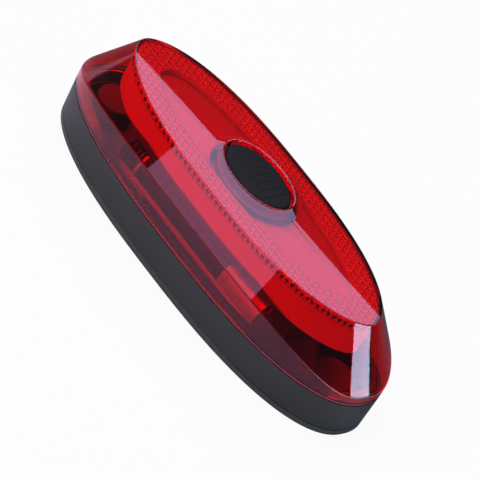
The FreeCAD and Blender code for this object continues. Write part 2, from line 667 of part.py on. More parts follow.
def make_board_screws():
    screws = []
    head_top = BOARD_BOTTOM - ASSEMBLY_GAP
    head_bottom = head_top - BOARD_SCREW_HEAD_HEIGHT
    tip = TRAY_FLOOR_BOTTOM + BOARD_PILLAR_HEIGHT - 2 * SCREW_END_GAP
    for side in (-1, 1):
        x = side * BOARD_SCREW_X
        head = rod(BOARD_SCREW_HEAD_RADIUS, x, 0, head_bottom, head_top)
        screw = fuse_all([head, rod(BOARD_SCREW_RADIUS, x, 0, head_top - SEAM_GAP, tip)])
        reach = BOARD_SCREW_HEAD_RADIUS - CROSS_DEPTH
        screws.append(screw.cut(cross_recess(x, 0, head_bottom - MARGIN, head_bottom + CROSS_DEPTH, reach)))
    return Part.makeCompound(screws)


def make_driver_chip():
    top = BOARD_BOTTOM - ASSEMBLY_GAP
    low = (-PARTS_X - CHIP_LENGTH / 2, -CHIP_WIDTH / 2, top - CHIP_HEIGHT)
    return box(low, (low[0] + CHIP_LENGTH, low[1] + CHIP_WIDTH, top))


def make_resistors():
    top = BOARD_BOTTOM - ASSEMBLY_GAP
    chips = []
    for index in range(RESISTOR_COUNT):
        y = (index - (RESISTOR_COUNT - 1) / 2) * RESISTOR_PITCH - RESISTOR_WIDTH / 2
        low = (PARTS_X - RESISTOR_LENGTH / 2, y, top - RESISTOR_HEIGHT)
        chips.append(box(low, (low[0] + RESISTOR_LENGTH, y + RESISTOR_WIDTH, top)))
    return Part.makeCompound(chips)


def make_board_pads():
    pads = []
    x = BAY_HALF + CONTACT_THICKNESS - CONTACT_LEAF_REACH / 2
    top = BOARD_BOTTOM - ASSEMBLY_GAP
    for side in (-1, 1):
        low = (x - PAD_SIZE / 2, side * CONTACT_LEAF_Y - PAD_SIZE / 2, PAD_BOTTOM)
        pads.append(box(low, (low[0] + PAD_SIZE, low[1] + PAD_SIZE, top)))
    return Part.makeCompound(pads)


def button_dome(lift):
    """Button's body with its shallow dome, raised by lift."""
    edge = FRONT_HEIGHT + BUTTON_EDGE_RISE + lift
    wires = [ellipse_wire(BUTTON_LENGTH, BUTTON_WIDTH, edge)]
    for step in range(1, DOME_STEPS):
        share = step / DOME_STEPS
        inward = BUTTON_WIDTH / 2 * (1 - math.sqrt(1 - share * share))
        size = grown((BUTTON_LENGTH, BUTTON_WIDTH), -inward)
        wires.append(ellipse_wire(*size, edge + BUTTON_DOME_RISE * share))
    dome = Part.makeLoft(wires, True, False)
    size = (BUTTON_LENGTH, BUTTON_WIDTH)
    return ellipse_taper(size, FLANGE_TOP - BUTTON_FLANGE_THICKNESS / 2, size, edge).fuse(dome)


def make_button():
    flange_size = grown((BUTTON_LENGTH, BUTTON_WIDTH), BUTTON_FLANGE_SPREAD)
    flange = ellipse_taper(flange_size, FLANGE_BOTTOM, flange_size, FLANGE_TOP)
    stem = rod(BUTTON_STEM_RADIUS, 0, 0, PLUNGER_TOP + PLUNGER_GAP, FLANGE_TOP)
    raised = button_dome(RIB_HEIGHT)
    solids = [button_dome(0), flange, stem]
    rib_top = FRONT_HEIGHT + BUTTON_EDGE_RISE + BUTTON_DOME_RISE + MARGIN
    for index in range(RIB_COUNT):
        x = (index - (RIB_COUNT - 1) / 2) * RIB_PITCH - RIB_WIDTH / 2
        rib = box((x, -RIB_LENGTH / 2, FRONT_HEIGHT), (x + RIB_WIDTH, RIB_LENGTH / 2, rib_top))
        solids.append(rib.common(raised))
    return fuse_all(solids)


NODES = {
    "back_cover": make_back_cover(),
    "housing": make_housing(),
    "cover_screws": make_cover_screws(),
    "mount_inserts": make_mount_inserts(),
    "gasket": make_gasket(),
    "battery_cradle": make_battery_cradle(),
    "battery_1": make_cell(1),
    "battery_2": make_cell(-1),
    "battery_spring_1": make_spring(1),
    "battery_spring_2": make_spring(-1),
    "bridge_contact": make_bridge_contact(),
    "plus_contact": make_leaf_contact(-1),
    "minus_contact": make_leaf_contact(1),
    "lens": make_lens(),
    "reflex_plate": make_reflex_plate(),
    "diffuser": make_diffuser(),
    "led_tray": make_led_tray(),
    "led_board": make_led_board(),
    "switch_body": make_switch_body(),
    "switch_plunger": make_switch_plunger(),
    "board_screws": make_board_screws(),
    "driver_chip": make_driver_chip(),
    "resistors": make_resistors(),
    "board_pads": make_board_pads(),
    "button": make_button(),
}
for number, lamp_x in enumerate(lamp_places(), 1):
    NODES["led_" + str(number)] = make_lamp(lamp_x)

os.makedirs("parts", exist_ok=True)
for node, shape in NODES.items():
    shape.exportStep("parts/" + node + ".step")
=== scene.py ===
import math

import bmesh
import bpy
import numpy as np
from mathutils import Matrix, Vector


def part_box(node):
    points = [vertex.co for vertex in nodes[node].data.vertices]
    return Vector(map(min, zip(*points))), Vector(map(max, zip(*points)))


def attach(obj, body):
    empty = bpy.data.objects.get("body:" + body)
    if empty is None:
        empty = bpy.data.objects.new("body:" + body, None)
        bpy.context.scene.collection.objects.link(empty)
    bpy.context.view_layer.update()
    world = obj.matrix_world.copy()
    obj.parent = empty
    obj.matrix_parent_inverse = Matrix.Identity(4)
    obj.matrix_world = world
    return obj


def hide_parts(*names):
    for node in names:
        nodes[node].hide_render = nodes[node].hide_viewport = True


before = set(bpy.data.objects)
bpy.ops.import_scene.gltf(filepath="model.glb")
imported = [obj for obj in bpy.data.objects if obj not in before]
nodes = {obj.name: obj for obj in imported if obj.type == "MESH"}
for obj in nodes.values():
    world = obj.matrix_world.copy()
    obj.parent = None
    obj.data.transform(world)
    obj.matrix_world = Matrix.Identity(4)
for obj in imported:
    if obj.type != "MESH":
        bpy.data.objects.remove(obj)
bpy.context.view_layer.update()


# Back cover. A shallow black ABS tray that closes the base from behind and carries the two inserts.
# It is injection moulded with a fine matt grain and held by four screws.

def new_material(name):
    """An empty material with its Principled shader, as (material, node tree, shader)."""
    material = bpy.data.materials.new(name)
    material.use_nodes = True
    tree = material.node_tree
    return material, tree, tree.nodes["Principled BSDF"]


def add(tree, kind, inputs=None, **settings):
    """A shader node with its settings and its unlinked inputs."""
    node = tree.nodes.new("ShaderNode" + kind)
    for setting, value in settings.items():
        setattr(node, setting, value)
    for socket, value in (inputs or {}).items():
        node.inputs[socket].default_value = value
    return node


def new_group(name, inputs, outputs):
    """A node group with float or colour sockets, as (group, input node, output node)."""
    group = bpy.data.node_groups.new(name, "ShaderNodeTree")
    for label, value in inputs.items():
        kind = "NodeSocketColor" if isinstance(value, tuple) else "NodeSocketFloat"
        socket = group.interface.new_socket(label, in_out="INPUT", socket_type=kind)
        socket.default_value = value
    for label, kind in outputs.items():
        group.interface.new_socket(label, in_out="OUTPUT", socket_type="NodeSocket" + kind)
    return group, group.nodes.new("NodeGroupInput"), group.nodes.new("NodeGroupOutput")


def place_group(tree, group, values):
    """A node group placed in a material with its own values."""
    node = tree.nodes.new("ShaderNodeGroup")
    node.node_tree = group
    for label, value in values.items():
        node.inputs[label].default_value = value
    return node


def add_bump(tree, shader, height, strength, depth):
    """Relief from a height over the surface; strength is a share and depth is in metres."""
    bump = add(tree, "Bump", {"Strength": strength, "Distance": depth})
    tree.links.new(height, bump.inputs["Height"])
    tree.links.new(bump.outputs["Normal"], shader.inputs["Normal"])


def split_place(tree, source="Object"):
    """The X, Y and Z outputs of a surface's place, or of its normal."""
    place = add(tree, "TexCoord")
    split = add(tree, "SeparateXYZ")
    tree.links.new(place.outputs[source], split.inputs["Vector"])
    return split.outputs


def finish_group(name, cloud_noise, fine_noise, stretch=(1.0, 1.0, 1.0)):
    """A finish whose tone drifts in soft clouds, with a fine relief and a roughness that wanders with it."""
    inputs = {"Tone": (0.02, 0.02, 0.02, 1), "Other Tone": (0.04, 0.04, 0.04, 1), "Fine Scale": 3000.0,
              "Low Roughness": 0.4, "High Roughness": 0.5}
    outputs = {"Color": "Color", "Roughness": "Float", "Height": "Float"}
    group, start, end = new_group(name, inputs, outputs)
    place = add(group, "TexCoord")
    stretched = add(group, "Mapping", {"Scale": stretch})
    cloud = add(group, "TexNoise", cloud_noise)
    fine = add(group, "TexNoise", fine_noise)
    tone = add(group, "Mix", data_type="RGBA")
    rough = add(group, "MapRange")
    link = group.links.new
    link(place.outputs["Object"], cloud.inputs["Vector"])
    link(place.outputs["Object"], stretched.inputs["Vector"])
    link(stretched.outputs["Vector"], fine.inputs["Vector"])
    link(start.outputs["Fine Scale"], fine.inputs["Scale"])
    link(cloud.outputs["Fac"], tone.inputs["Factor"])
    link(start.outputs["Tone"], tone.inputs["A"])
    link(start.outputs["Other Tone"], tone.inputs["B"])
    link(fine.outputs["Fac"], rough.inputs["Value"])
    link(start.outputs["Low Roughness"], rough.inputs["To Min"])
    link(start.outputs["High Roughness"], rough.inputs["To Max"])
    link(tone.outputs["Result"], end.inputs["Color"])
    link(rough.outputs["Result"], end.inputs["Roughness"])
    link(fine.outputs["Fac"], end.inputs["Height"])
    return group


def finished(name, group, tones, scale, roughness, relief, depth):
    """A material with a finish, as (material, shader); tones and roughness are pairs."""
    material, tree, shader = new_material(name)
    values = {"Tone": (*tones[0], 1), "Other Tone": (*tones[1], 1), "Fine Scale": scale,
              "Low Roughness": roughness[0], "High Roughness": roughness[1]}
    finish = place_group(tree, group, values)
    tree.links.new(finish.outputs["Color"], shader.inputs["Base Color"])
    tree.links.new(finish.outputs["Roughness"], shader.inputs["Roughness"])
    add_bump(tree, shader, finish.outputs["Height"], relief, depth)
    return material, shader


FINE_GRAIN = 3000.0
GRAIN_DEPTH = 0.00004
moulded_grain = finish_group("moulded_grain", {"Scale": 90.0, "Detail": 3.0},
                             {"Detail": 2.0, "Roughness": 0.6})


def moulded_plastic(name, dark, light, grain=FINE_GRAIN, roughness=(0.4, 0.5), relief=0.15, specular=0.5):
    """Opaque moulded plastic or rubber."""
    material, shader = finished(name, moulded_grain, (dark, light), grain, roughness, relief, GRAIN_DEPTH)
    shader.inputs["Specular IOR Level"].default_value = specular
    return material


def dress(node, material):
    """Gives a solid of the model its finish."""
    target = nodes[node]
    if not target.material_slots:
        target.data.materials.append(material)
    for slot in target.material_slots:
        slot.material = material


def toward_ends_group():
    """A value that changes along the lamp between two distances from its middle."""
    inputs = {"Near": 0.02, "Far": 0.03, "At Near": 0.0, "At Far": 1.0}
    group, start, end = new_group("toward_ends", inputs, {"Value": "Float"})
    away = add(group, "Math", operation="ABSOLUTE")
    level = add(group, "MapRange")
    link = group.links.new
    link(split_place(group)["X"], away.inputs[0])
    link(away.outputs["Value"], level.inputs["Value"])
    link(start.outputs["Near"], level.inputs["From Min"])
    link(start.outputs["Far"], level.inputs["From Max"])
    link(start.outputs["At Near"], level.inputs["To Min"])
    link(start.outputs["At Far"], level.inputs["To Max"])
    link(level.outputs["Result"], end.inputs["Value"])
    return group


toward_ends = toward_ends_group()


def paint_over(material, mask, colour):
    """Lays another colour over a finish where the mask is 1."""
    tree = material.node_tree
    base = tree.nodes["Principled BSDF"].inputs["Base Color"]
    tone = add(tree, "Mix", {"B": (*colour, 1)}, data_type="RGBA")
    tree.links.new(mask, tone.inputs["Factor"])
    tree.links.new(base.links[0].from_socket, tone.inputs["A"])
    tree.links.new(tone.outputs["Result"], base)


INSIDE_POINT = (0.0, 0.0, 0.008)
INWARD_PAINTED_GLOW = (0.22, 0.2, 0.2)


def base_plastic(name, dark, light, roughness):
    """Black moulded plastic; midway along, its inward faces are painted paler: a painted glow of the red
    light inside.
    """
    material = moulded_plastic(name, dark, light, roughness=roughness)
    tree = material.node_tree
    place = add(tree, "TexCoord")
    spot = add(tree, "VectorMath", {1: INSIDE_POINT}, operation="SUBTRACT")
    facing = add(tree, "VectorMath", operation="DOT_PRODUCT")
    inward = add(tree, "Math", {1: 0.0}, operation="LESS_THAN")
    midway = place_group(tree, toward_ends, {"Near": 0.02, "Far": 0.03, "At Near": 1.0, "At Far": 0.0})
    share = add(tree, "Math", operation="MULTIPLY")
    link = tree.links.new
    link(place.outputs["Object"], spot.inputs[0])
    link(spot.outputs["Vector"], facing.inputs[0])
    link(place.outputs["Normal"], facing.inputs[1])
    link(facing.outputs["Value"], inward.inputs[0])
    link(inward.outputs["Value"], share.inputs[0])
    link(midway.outputs["Value"], share.inputs[1])
    # midway along, the inward faces are painted paler: a painted glow of the red light inside the lamp
    paint_over(material, share.outputs["Value"], INWARD_PAINTED_GLOW)
    return material


dress("back_cover", base_plastic("cover_plastic", (0.04, 0.04, 0.042), (0.056, 0.056, 0.058), (0.36, 0.48)))


# Housing. The black ring of the base, moulded in one with its screw bosses and the ledge for the gasket.
# It has a slight draft, a satin finish, and a slot for a coin in its far side.

dress("housing", base_plastic("housing_plastic", (0.016, 0.016, 0.017), (0.023, 0.023, 0.024), (0.42, 0.54)))


# Cover screws and board screws. Small screws of zinc plated steel with cross recesses. Four hold the back
# cover to the housing from behind, and two hold the lamp board to its tray.

plated_metal = finish_group("plated_metal", {"Scale": 700.0, "Detail": 2.0},
                            {"Detail": 4.0, "Roughness": 0.7}, stretch=(1.0, 6.0, 1.0))
SCRATCH_DEPTH = 0.00003


def metal(name, bright, dull, roughness, scratch=900.0):
    """Plated or turned metal, with fine scratches that are drawn out along one axis."""
    material, shader = finished(name, plated_metal, (bright, dull), scratch, roughness, 0.1, SCRATCH_DEPTH)
    shader.inputs["Metallic"].default_value = 1.0
    return material


screw_steel = metal("screw_steel", (0.62, 0.63, 0.64), (0.42, 0.43, 0.45), (0.22, 0.4))
for node in ("cover_screws", "board_screws"):
    dress(node, screw_steel)


# Mount inserts. Two M5 inserts turned from brass, knurled and pressed into the back cover's bosses. The bolts
# of the luggage carrier go into them.

insert_brass = metal("insert_brass", (0.80, 0.58, 0.26), (0.55, 0.37, 0.15), (0.2, 0.38))
dress("mount_inserts", insert_brass)


# Gasket. A flat ring of dark grey silicone rubber. It lies on the housing's ledge under the lens's spigot and
# keeps the rain out.

gasket_rubber = moulded_plastic("gasket_rubber", (0.05, 0.05, 0.052), (0.08, 0.08, 0.082),
                                roughness=(0.6, 0.75))
dress("gasket", gasket_rubber)


# Battery cradle. An open tray moulded in pale grey ABS. It rests on the back cover, and holds the two cells
# side by side and the contacts in its end walls.

def cradle_plastic_material():
    """Pale grey moulding with painted shade towards its two ends, which stand in the shade of the base."""
    material = moulded_plastic("cradle_plastic", (0.34, 0.34, 0.345), (0.42, 0.42, 0.425),
                               roughness=(0.4, 0.55))
    values = {"Near": 0.018, "Far": 0.025, "At Near": 0.0, "At Far": 1.0}
    ends = place_group(material.node_tree, toward_ends, values)
    # painted shade at the two ends
    paint_over(material, ends.outputs["Value"], (0.06, 0.055, 0.055))
    return material


dress("battery_cradle", cradle_plastic_material())


# Cells. Two AAA cells, steel cans in plain shrink sleeves, dark with a copper band at the positive end. They
# lie in the cradle in opposite directions, each between a spring and a contact.

SLEEVE_START = 0.012
COPPER_START = 0.7
SLEEVE_END = 0.965
SLEEVE_WEAR_DEPTH = 0.00005


def cell_jacket(cell, plus_side):
    """The sleeve's colours change along the cell, as shares of its length from the minus end; plus_side is +1
    where the nub points along +X."""
    material, tree, shader = new_material(cell + "_jacket")
    low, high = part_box(cell)
    minus_x, plus_x = (low.x, high.x) if plus_side > 0 else (high.x, low.x)
    place = add(tree, "TexCoord")
    along = add(tree, "MapRange", {"From Min": minus_x, "From Max": plus_x})
    bands = add(tree, "ValToRGB")
    ramp = bands.color_ramp
    ramp.interpolation = "CONSTANT"
    steel = (0.6, 0.6, 0.6, 1)
    ramp.elements[0].color = steel
    ramp.elements[1].position = SLEEVE_START
    ramp.elements[1].color = (0.04, 0.042, 0.048, 1)
    for position, colour in ((COPPER_START, (0.55, 0.3, 0.13, 1)), (SLEEVE_END, steel)):
        ramp.elements.new(position).color = colour
    wear = add(tree, "TexNoise", {"Scale": 500.0, "Detail": 3.0})
    rough = add(tree, "MapRange", {"To Min": 0.22, "To Max": 0.38})
    link = tree.links.new
    link(split_place(tree)["X"], along.inputs["Value"])
    link(along.outputs["Result"], bands.inputs["Fac"])
    link(bands.outputs["Color"], shader.inputs["Base Color"])
    link(place.outputs["Object"], wear.inputs["Vector"])
    link(wear.outputs["Fac"], rough.inputs["Value"])
    link(rough.outputs["Result"], shader.inputs["Roughness"])
    add_bump(tree, shader, wear.outputs["Fac"], 0.1, SLEEVE_WEAR_DEPTH)
    shader.inputs["Metallic"].default_value = 0.6
    return material


dress("battery_1", cell_jacket("battery_1", 1))
dress("battery_2", cell_jacket("battery_2", -1))


# Contacts and springs. Nickel plated spring steel, stamped and wound, clipped in the cradle's ends.
# The board's two pads that the leaves press on have the same plating.

plated_contact = metal("plated_contact", (0.72, 0.70, 0.64), (0.5, 0.48, 0.43), (0.18, 0.34), 1400.0)
for node in ("bridge_contact", "plus_contact", "minus_contact", "battery_spring_1", "battery_spring_2",
             "board_pads"):
    dress(node, plated_contact)


# Lamp board. A glass fibre board with a green mask, whose weave shows faintly. The press switch is soldered
# to its front, and a driver chip in black epoxy and four ceramic resistors to its back.

WEAVE_DEPTH = 0.00002


def laminate(name):
    """Green mask over woven glass fibre."""
    material, tree, shader = new_material(name)
    place = add(tree, "TexCoord")
    thread = {"Scale": 900.0, "Distortion": 0.4}
    warp = add(tree, "TexWave", thread, bands_direction="X")
    weft = add(tree, "TexWave", thread, bands_direction="Y")
    weave = add(tree, "Math", operation="MULTIPLY")
    cloud = add(tree, "TexNoise", {"Scale": 120.0, "Detail": 3.0})
    mixed = add(tree, "Math", operation="ADD")
    tone = add(tree, "Mix", {"A": (0.012, 0.09, 0.035, 1), "B": (0.02, 0.16, 0.06, 1)}, data_type="RGBA")
    link = tree.links.new
    for wave in (warp, weft, cloud):
        link(place.outputs["Object"], wave.inputs["Vector"])
    link(warp.outputs["Fac"], weave.inputs[0])
    link(weft.outputs["Fac"], weave.inputs[1])
    link(weave.outputs["Value"], mixed.inputs[0])
    link(cloud.outputs["Fac"], mixed.inputs[1])
    link(mixed.outputs["Value"], tone.inputs["Factor"])
    link(tone.outputs["Result"], shader.inputs["Base Color"])
    add_bump(tree, shader, weave.outputs["Value"], 0.15, WEAVE_DEPTH)
    shader.inputs["Roughness"].default_value = 0.3
    return material


dress("led_board", laminate("board_laminate"))
chip_epoxy = moulded_plastic("chip_epoxy", (0.012, 0.012, 0.013), (0.022, 0.022, 0.024),
                             roughness=(0.45, 0.6))
resistor_ceramic = moulded_plastic("resistor_ceramic", (0.03, 0.03, 0.032), (0.5, 0.5, 0.48),
                                   grain=700.0, roughness=(0.25, 0.4))
for node in ("driver_chip", "switch_body", "switch_plunger"):
    dress(node, chip_epoxy)
dress("resistors", resistor_ceramic)


# Lamps. Four 3 mm light-emitting diodes, cast in clear red epoxy. They are soldered to the board, and each
# stands in a cup of the tray.

def soft_drift_group():
    """A colour and a value that drift together over the surface, each between two of its own."""
    inputs = {"Tone": (0.2, 0.2, 0.2, 1), "Other Tone": (0.3, 0.3, 0.3, 1), "Low": 0.0, "High": 1.0,
              "Scale": 90.0, "Detail": 2.0}
    group, start, end = new_group("soft_drift", inputs, {"Color": "Color", "Value": "Float"})
    place = add(group, "TexCoord")
    cloud = add(group, "TexNoise")
    tone = add(group, "Mix", data_type="RGBA")
    level = add(group, "MapRange")
    link = group.links.new
    link(place.outputs["Object"], cloud.inputs["Vector"])
    link(start.outputs["Scale"], cloud.inputs["Scale"])
    link(start.outputs["Detail"], cloud.inputs["Detail"])
    link(cloud.outputs["Fac"], tone.inputs["Factor"])
    link(start.outputs["Tone"], tone.inputs["A"])
    link(start.outputs["Other Tone"], tone.inputs["B"])
    link(cloud.outputs["Fac"], level.inputs["Value"])
    link(start.outputs["Low"], level.inputs["To Min"])
    link(start.outputs["High"], level.inputs["To Max"])
    link(tone.outputs["Result"], end.inputs["Color"])
    link(level.outputs["Result"], end.inputs["Value"])
    return group


soft_drift = soft_drift_group()


def drifting_tone(tree, tone, other, scale, detail=2.0):
    """A colour that drifts softly over the surface between two tones."""
    values = {"Tone": (*tone, 1), "Other Tone": (*other, 1), "Scale": scale, "Detail": detail}
    return place_group(tree, soft_drift, values).outputs["Color"]


def drifting_value(tree, low, high, scale, detail=2.0):
    """A value that drifts softly over the surface between low and high."""
    values = {"Low": low, "High": high, "Scale": scale, "Detail": detail}
    return place_group(tree, soft_drift, values).outputs["Value"]


def lamp_epoxy_material():
    """Clear red epoxy, as glossy as it leaves its mould."""
    material, tree, shader = new_material("lamp_epoxy")
    tone = drifting_tone(tree, (0.7, 0.02, 0.02), (0.85, 0.06, 0.05), 600.0)
    tree.links.new(tone, shader.inputs["Base Color"])
    shader.inputs["Roughness"].default_value = 0.08
    shader.inputs["Transmission Weight"].default_value = 0.6
    shader.inputs["IOR"].default_value = 1.5
    return material


lamp_epoxy = lamp_epoxy_material()
for number in (1, 2, 3, 4):
    dress("led_%d" % number, lamp_epoxy)


# Lamp tray. A glossy white moulding whose cones throw the lamps' light forward; its tall rim is what
# shows as a bright red block through the lens's slope.

SKIRT_SHADE_BELOW = 0.0170
SKIRT_UNSHADED_ABOVE = 0.0176
SKIRT_END_DROP = 0.003


def tray_plastic_material():
    """White moulding; the foot of its skirt carries painted shade, where no light comes through to it, up to
    a border that drops towards both ends."""
    material, tree, shader = new_material("tray_plastic")
    values = {"Tone": (0.74, 0.735, 0.72, 1), "Other Tone": (0.8, 0.795, 0.78, 1), "Low Roughness": 0.25,
              "High Roughness": 0.35}
    finish = place_group(tree, moulded_grain, values)
    ends = {"Near": 0.02, "Far": 0.036, "At Near": 0.0, "At Far": SKIRT_END_DROP}
    drop = place_group(tree, toward_ends, ends)
    level = add(tree, "Math", operation="ADD")
    height = add(tree, "MapRange", {"From Min": SKIRT_SHADE_BELOW, "From Max": SKIRT_UNSHADED_ABOVE})
    # the dark colour is painted shade on the foot of the skirt
    tone = add(tree, "Mix", {"A": (0.05, 0.03, 0.03, 1)}, data_type="RGBA")
    link = tree.links.new
    link(split_place(tree)["Z"], level.inputs[0])
    link(drop.outputs["Value"], level.inputs[1])
    link(level.outputs["Value"], height.inputs["Value"])
    link(height.outputs["Result"], tone.inputs["Factor"])
    link(finish.outputs["Color"], tone.inputs["B"])
    link(tone.outputs["Result"], shader.inputs["Base Color"])
    link(finish.outputs["Roughness"], shader.inputs["Roughness"])
    return material


dress("led_tray", tray_plastic_material())


# Diffuser. A thin lid moulded in opal plastic, laid over the mouth of the tray. It is seen as the smooth
# darker window inside the prism band.

def opal_lid_material():
    """Opal plastic; its cut edge is painted paler than its top, a painted glow of the light the edge gathers.
    """
    material, tree, shader = new_material("opal_lid")
    # the cut edges are painted paler than the top, a painted glow
    level = add(tree, "Math", operation="ABSOLUTE")
    tone = add(tree, "Mix", {"A": (0.78, 0.77, 0.75, 1)}, data_type="RGBA")
    link = tree.links.new
    link(split_place(tree, "Normal")["Z"], level.inputs[0])
    link(level.outputs["Value"], tone.inputs["Factor"])
    link(drifting_tone(tree, (0.28, 0.27, 0.26), (0.32, 0.31, 0.3), 90.0, 3.0), tone.inputs["B"])
    link(tone.outputs["Result"], shader.inputs["Base Color"])
    shader.inputs["Roughness"].default_value = 0.35
    return material


dress("diffuser", opal_lid_material())


# Reflex plate. A ring of clear red acrylic under the front face, moulded with three-sided prisms that send
# a car's light back. It lies on the diffuser and leaves the middle window free.

# outlines of the lamp as (half length, half width, power at the ends, power at the sides)
BODY = (50.0, 17.4, 2.6, 2.325)
FACE = (41.7, 13.0, 2.64, 1.81)
WINDOW = (33.0, 8.2, 2.2, 2.2)
FULL_TURN = 2 * math.pi
ROOM_SAMPLES = 721


def oval_with_normals(outline, turns):
    """Points and outward normals of a superellipse."""
    half_x, half_y, end_power, side_power = outline
    cos = np.cos(turns)
    sin = np.sin(turns)
    x = half_x * np.sign(cos) * np.abs(cos) ** (2 / end_power)
    y = half_y * np.sign(sin) * np.abs(sin) ** (2 / side_power)
    normal_x = np.sign(x) * np.abs(x / half_x) ** (end_power - 1) * end_power / half_x
    normal_y = np.sign(y) * np.abs(y / half_y) ** (side_power - 1) * side_power / half_y
    size = np.hypot(normal_x, normal_y)
    return np.column_stack([x, y]), np.column_stack([normal_x / size, normal_y / size])


def oval(outline, grow, turns):
    """A superellipse moved outward along its normal by grow."""
    points, normals = oval_with_normals(outline, turns)
    return points + grow * normals


def room_inside(points, outline, grow):
    """How far points lie inside a superellipse moved outward by grow, measured along rays from the centre."""
    ring = oval(outline, grow, np.linspace(0, FULL_TURN, ROOM_SAMPLES))[:-1]
    angles = np.arctan2(ring[:, 1], ring[:, 0]) % FULL_TURN
    order = np.argsort(angles)
    radii = np.hypot(ring[:, 0], ring[:, 1])
    turns = np.arctan2(points[:, 1], points[:, 0]) % FULL_TURN
    border = np.interp(turns, angles[order], radii[order], period=FULL_TURN)
    return border - np.hypot(points[:, 0], points[:, 1])


MM = 0.001
SHARP_ANGLE = math.radians(38)


def put_piece(name, points, faces, material, body, replaced, slot, smooth=True):
    mesh = bpy.data.meshes.new(name)
    mesh.from_pydata([(x * MM, y * MM, z * MM) for x, y, z in points], [], faces)
    shell = bmesh.new()
    shell.from_mesh(mesh)
    bmesh.ops.recalc_face_normals(shell, faces=shell.faces)
    shell.to_mesh(mesh)
    shell.free()
    mesh.materials.append(material)
    if smooth:
        mesh.shade_smooth()
        mesh.set_sharp_from_angle(angle=SHARP_ANGLE)
    piece = bpy.data.objects.new(name, mesh)
    bpy.context.scene.collection.objects.link(piece)
    if smooth:
        weighted = piece.modifiers.new("weighted", "WEIGHTED_NORMAL")
        weighted.keep_sharp = True
    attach(piece, body)
    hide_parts(replaced)
    return piece


PRISM_EDGE = 1.62
PRISM_DEPTH = 0.62
PRISM_TOP = 23.24
PRISM_BOTTOM = 21.88
PRISM_RIM = 0.75
PRISM_WINDOW_GAP = 0.1
SPARE_ROWS = 3
CUT_STEPS = 14


def prism_room(points):
    """Positive in the band between the plate's rim and the window."""
    points = np.asarray(points, float)
    outside_window = -room_inside(points, WINDOW, PRISM_WINDOW_GAP)
    return np.minimum(room_inside(points, FACE, -PRISM_RIM), outside_window)


def prism_field():
    """Three-sided pits over the band, cut off at its rim and at the window, closed below by a flat floor."""
    row_height = PRISM_EDGE * math.sqrt(3) / 2
    columns = 2 * (int(FACE[0] / PRISM_EDGE) + SPARE_ROWS)
    rows = int(FACE[1] / row_height) + SPARE_ROWS
    points = []
    index_of = {}

    def corner(column, row):
        """Index of a corner of the triangle grid, which is made when it is first asked for."""
        if (column, row) not in index_of:
            index_of[(column, row)] = len(points)
            points.append(((column + row / 2) * PRISM_EDGE, row * row_height, PRISM_TOP))
        return index_of[(column, row)]

    facets = []
    for row in range(-rows, rows):
        for column in range(-columns, columns):
            for cell in (((column, row), (column + 1, row), (column, row + 1)),
                         ((column + 1, row), (column + 1, row + 1), (column, row + 1))):
                middle = np.mean([((c + r / 2) * PRISM_EDGE, r * row_height) for c, r in cell], axis=0)
                if abs(middle[0]) > FACE[0] + PRISM_EDGE:
                    continue
                triangle = [corner(*key) for key in cell]
                pit = len(points)
                points.append((middle[0], middle[1], PRISM_TOP - PRISM_DEPTH))
                sides = zip(triangle, triangle[1:] + triangle[:1])
                facets += [(first, second, pit) for first, second in sides]
    room = list(prism_room([point[:2] for point in points]))
    cuts = {}

    def cut(first, second):
        """Where the edge between an inner and an outer point crosses the band's border."""
        if (first, second) not in cuts:
            start = np.array(points[first])
            end = np.array(points[second])
            low, high = 0.0, 1.0
            for _ in range(CUT_STEPS):
                share = (low + high) / 2
                if prism_room([(start + (end - start) * share)[:2]])[0] > 0:
                    low = share
                else:
                    high = share
            cuts[(first, second)] = len(points)
            points.append(tuple(start + (end - start) * low))
        return cuts[(first, second)]

    tops = []
    for facet in facets:
        kept = []
        for first, second in zip(facet, facet[1:] + facet[:1]):
            if room[first] > 0:
                kept.append(first)
                if room[second] <= 0:
                    kept.append(cut(first, second))
            elif room[second] > 0:
                kept.append(cut(second, first))
        if len(kept) > 2:
            tops.append(tuple(kept))
    used = sorted({index for top in tops for index in top})
    place = {index: spot for spot, index in enumerate(used)}
    low = len(used)
    field = [points[index] for index in used] + [(*points[index][:2], PRISM_BOTTOM) for index in used]
    faces = []
    edges = set()
    for top in tops:
        ring = [place[index] for index in top]
        faces += [tuple(ring), tuple(low + index for index in reversed(ring))]
        edges.update(zip(ring, ring[1:] + ring[:1]))
    for first, second in sorted(edges):
        if (second, first) not in edges:
            faces.append((second, first, low + first, low + second))
    return field, faces


PRISM_PAINTED_LIGHT_SIDE = (-0.62, -0.78, 0.12)
TOOTH_HEIGHT = 1.3
TOOTH_SLANT = 0.8


def pit_painted_shading(tree, place):
    """Painted shading of a pit's three facets, dark, middling or bright by the way each faces, with a little
    sway.
    """
    facing = add(tree, "VectorMath", {1: PRISM_PAINTED_LIGHT_SIDE}, operation="DOT_PRODUCT")
    turned = add(tree, "Math", operation="ADD")
    share = add(tree, "MapRange", {"From Min": -0.55, "From Max": 0.6})
    tone = add(tree, "Mix", {"A": (0.4, 0.3, 0.3, 1), "B": (0.72, 0.64, 0.64, 1)}, data_type="RGBA")
    link = tree.links.new
    link(place.outputs["Normal"], facing.inputs[0])
    link(facing.outputs["Value"], turned.inputs[0])
    link(drifting_value(tree, -0.12, 0.12, 160.0), turned.inputs[1])
    link(turned.outputs["Value"], share.inputs["Value"])
    link(share.outputs["Result"], tone.inputs["Factor"])
    return tone.outputs["Result"]


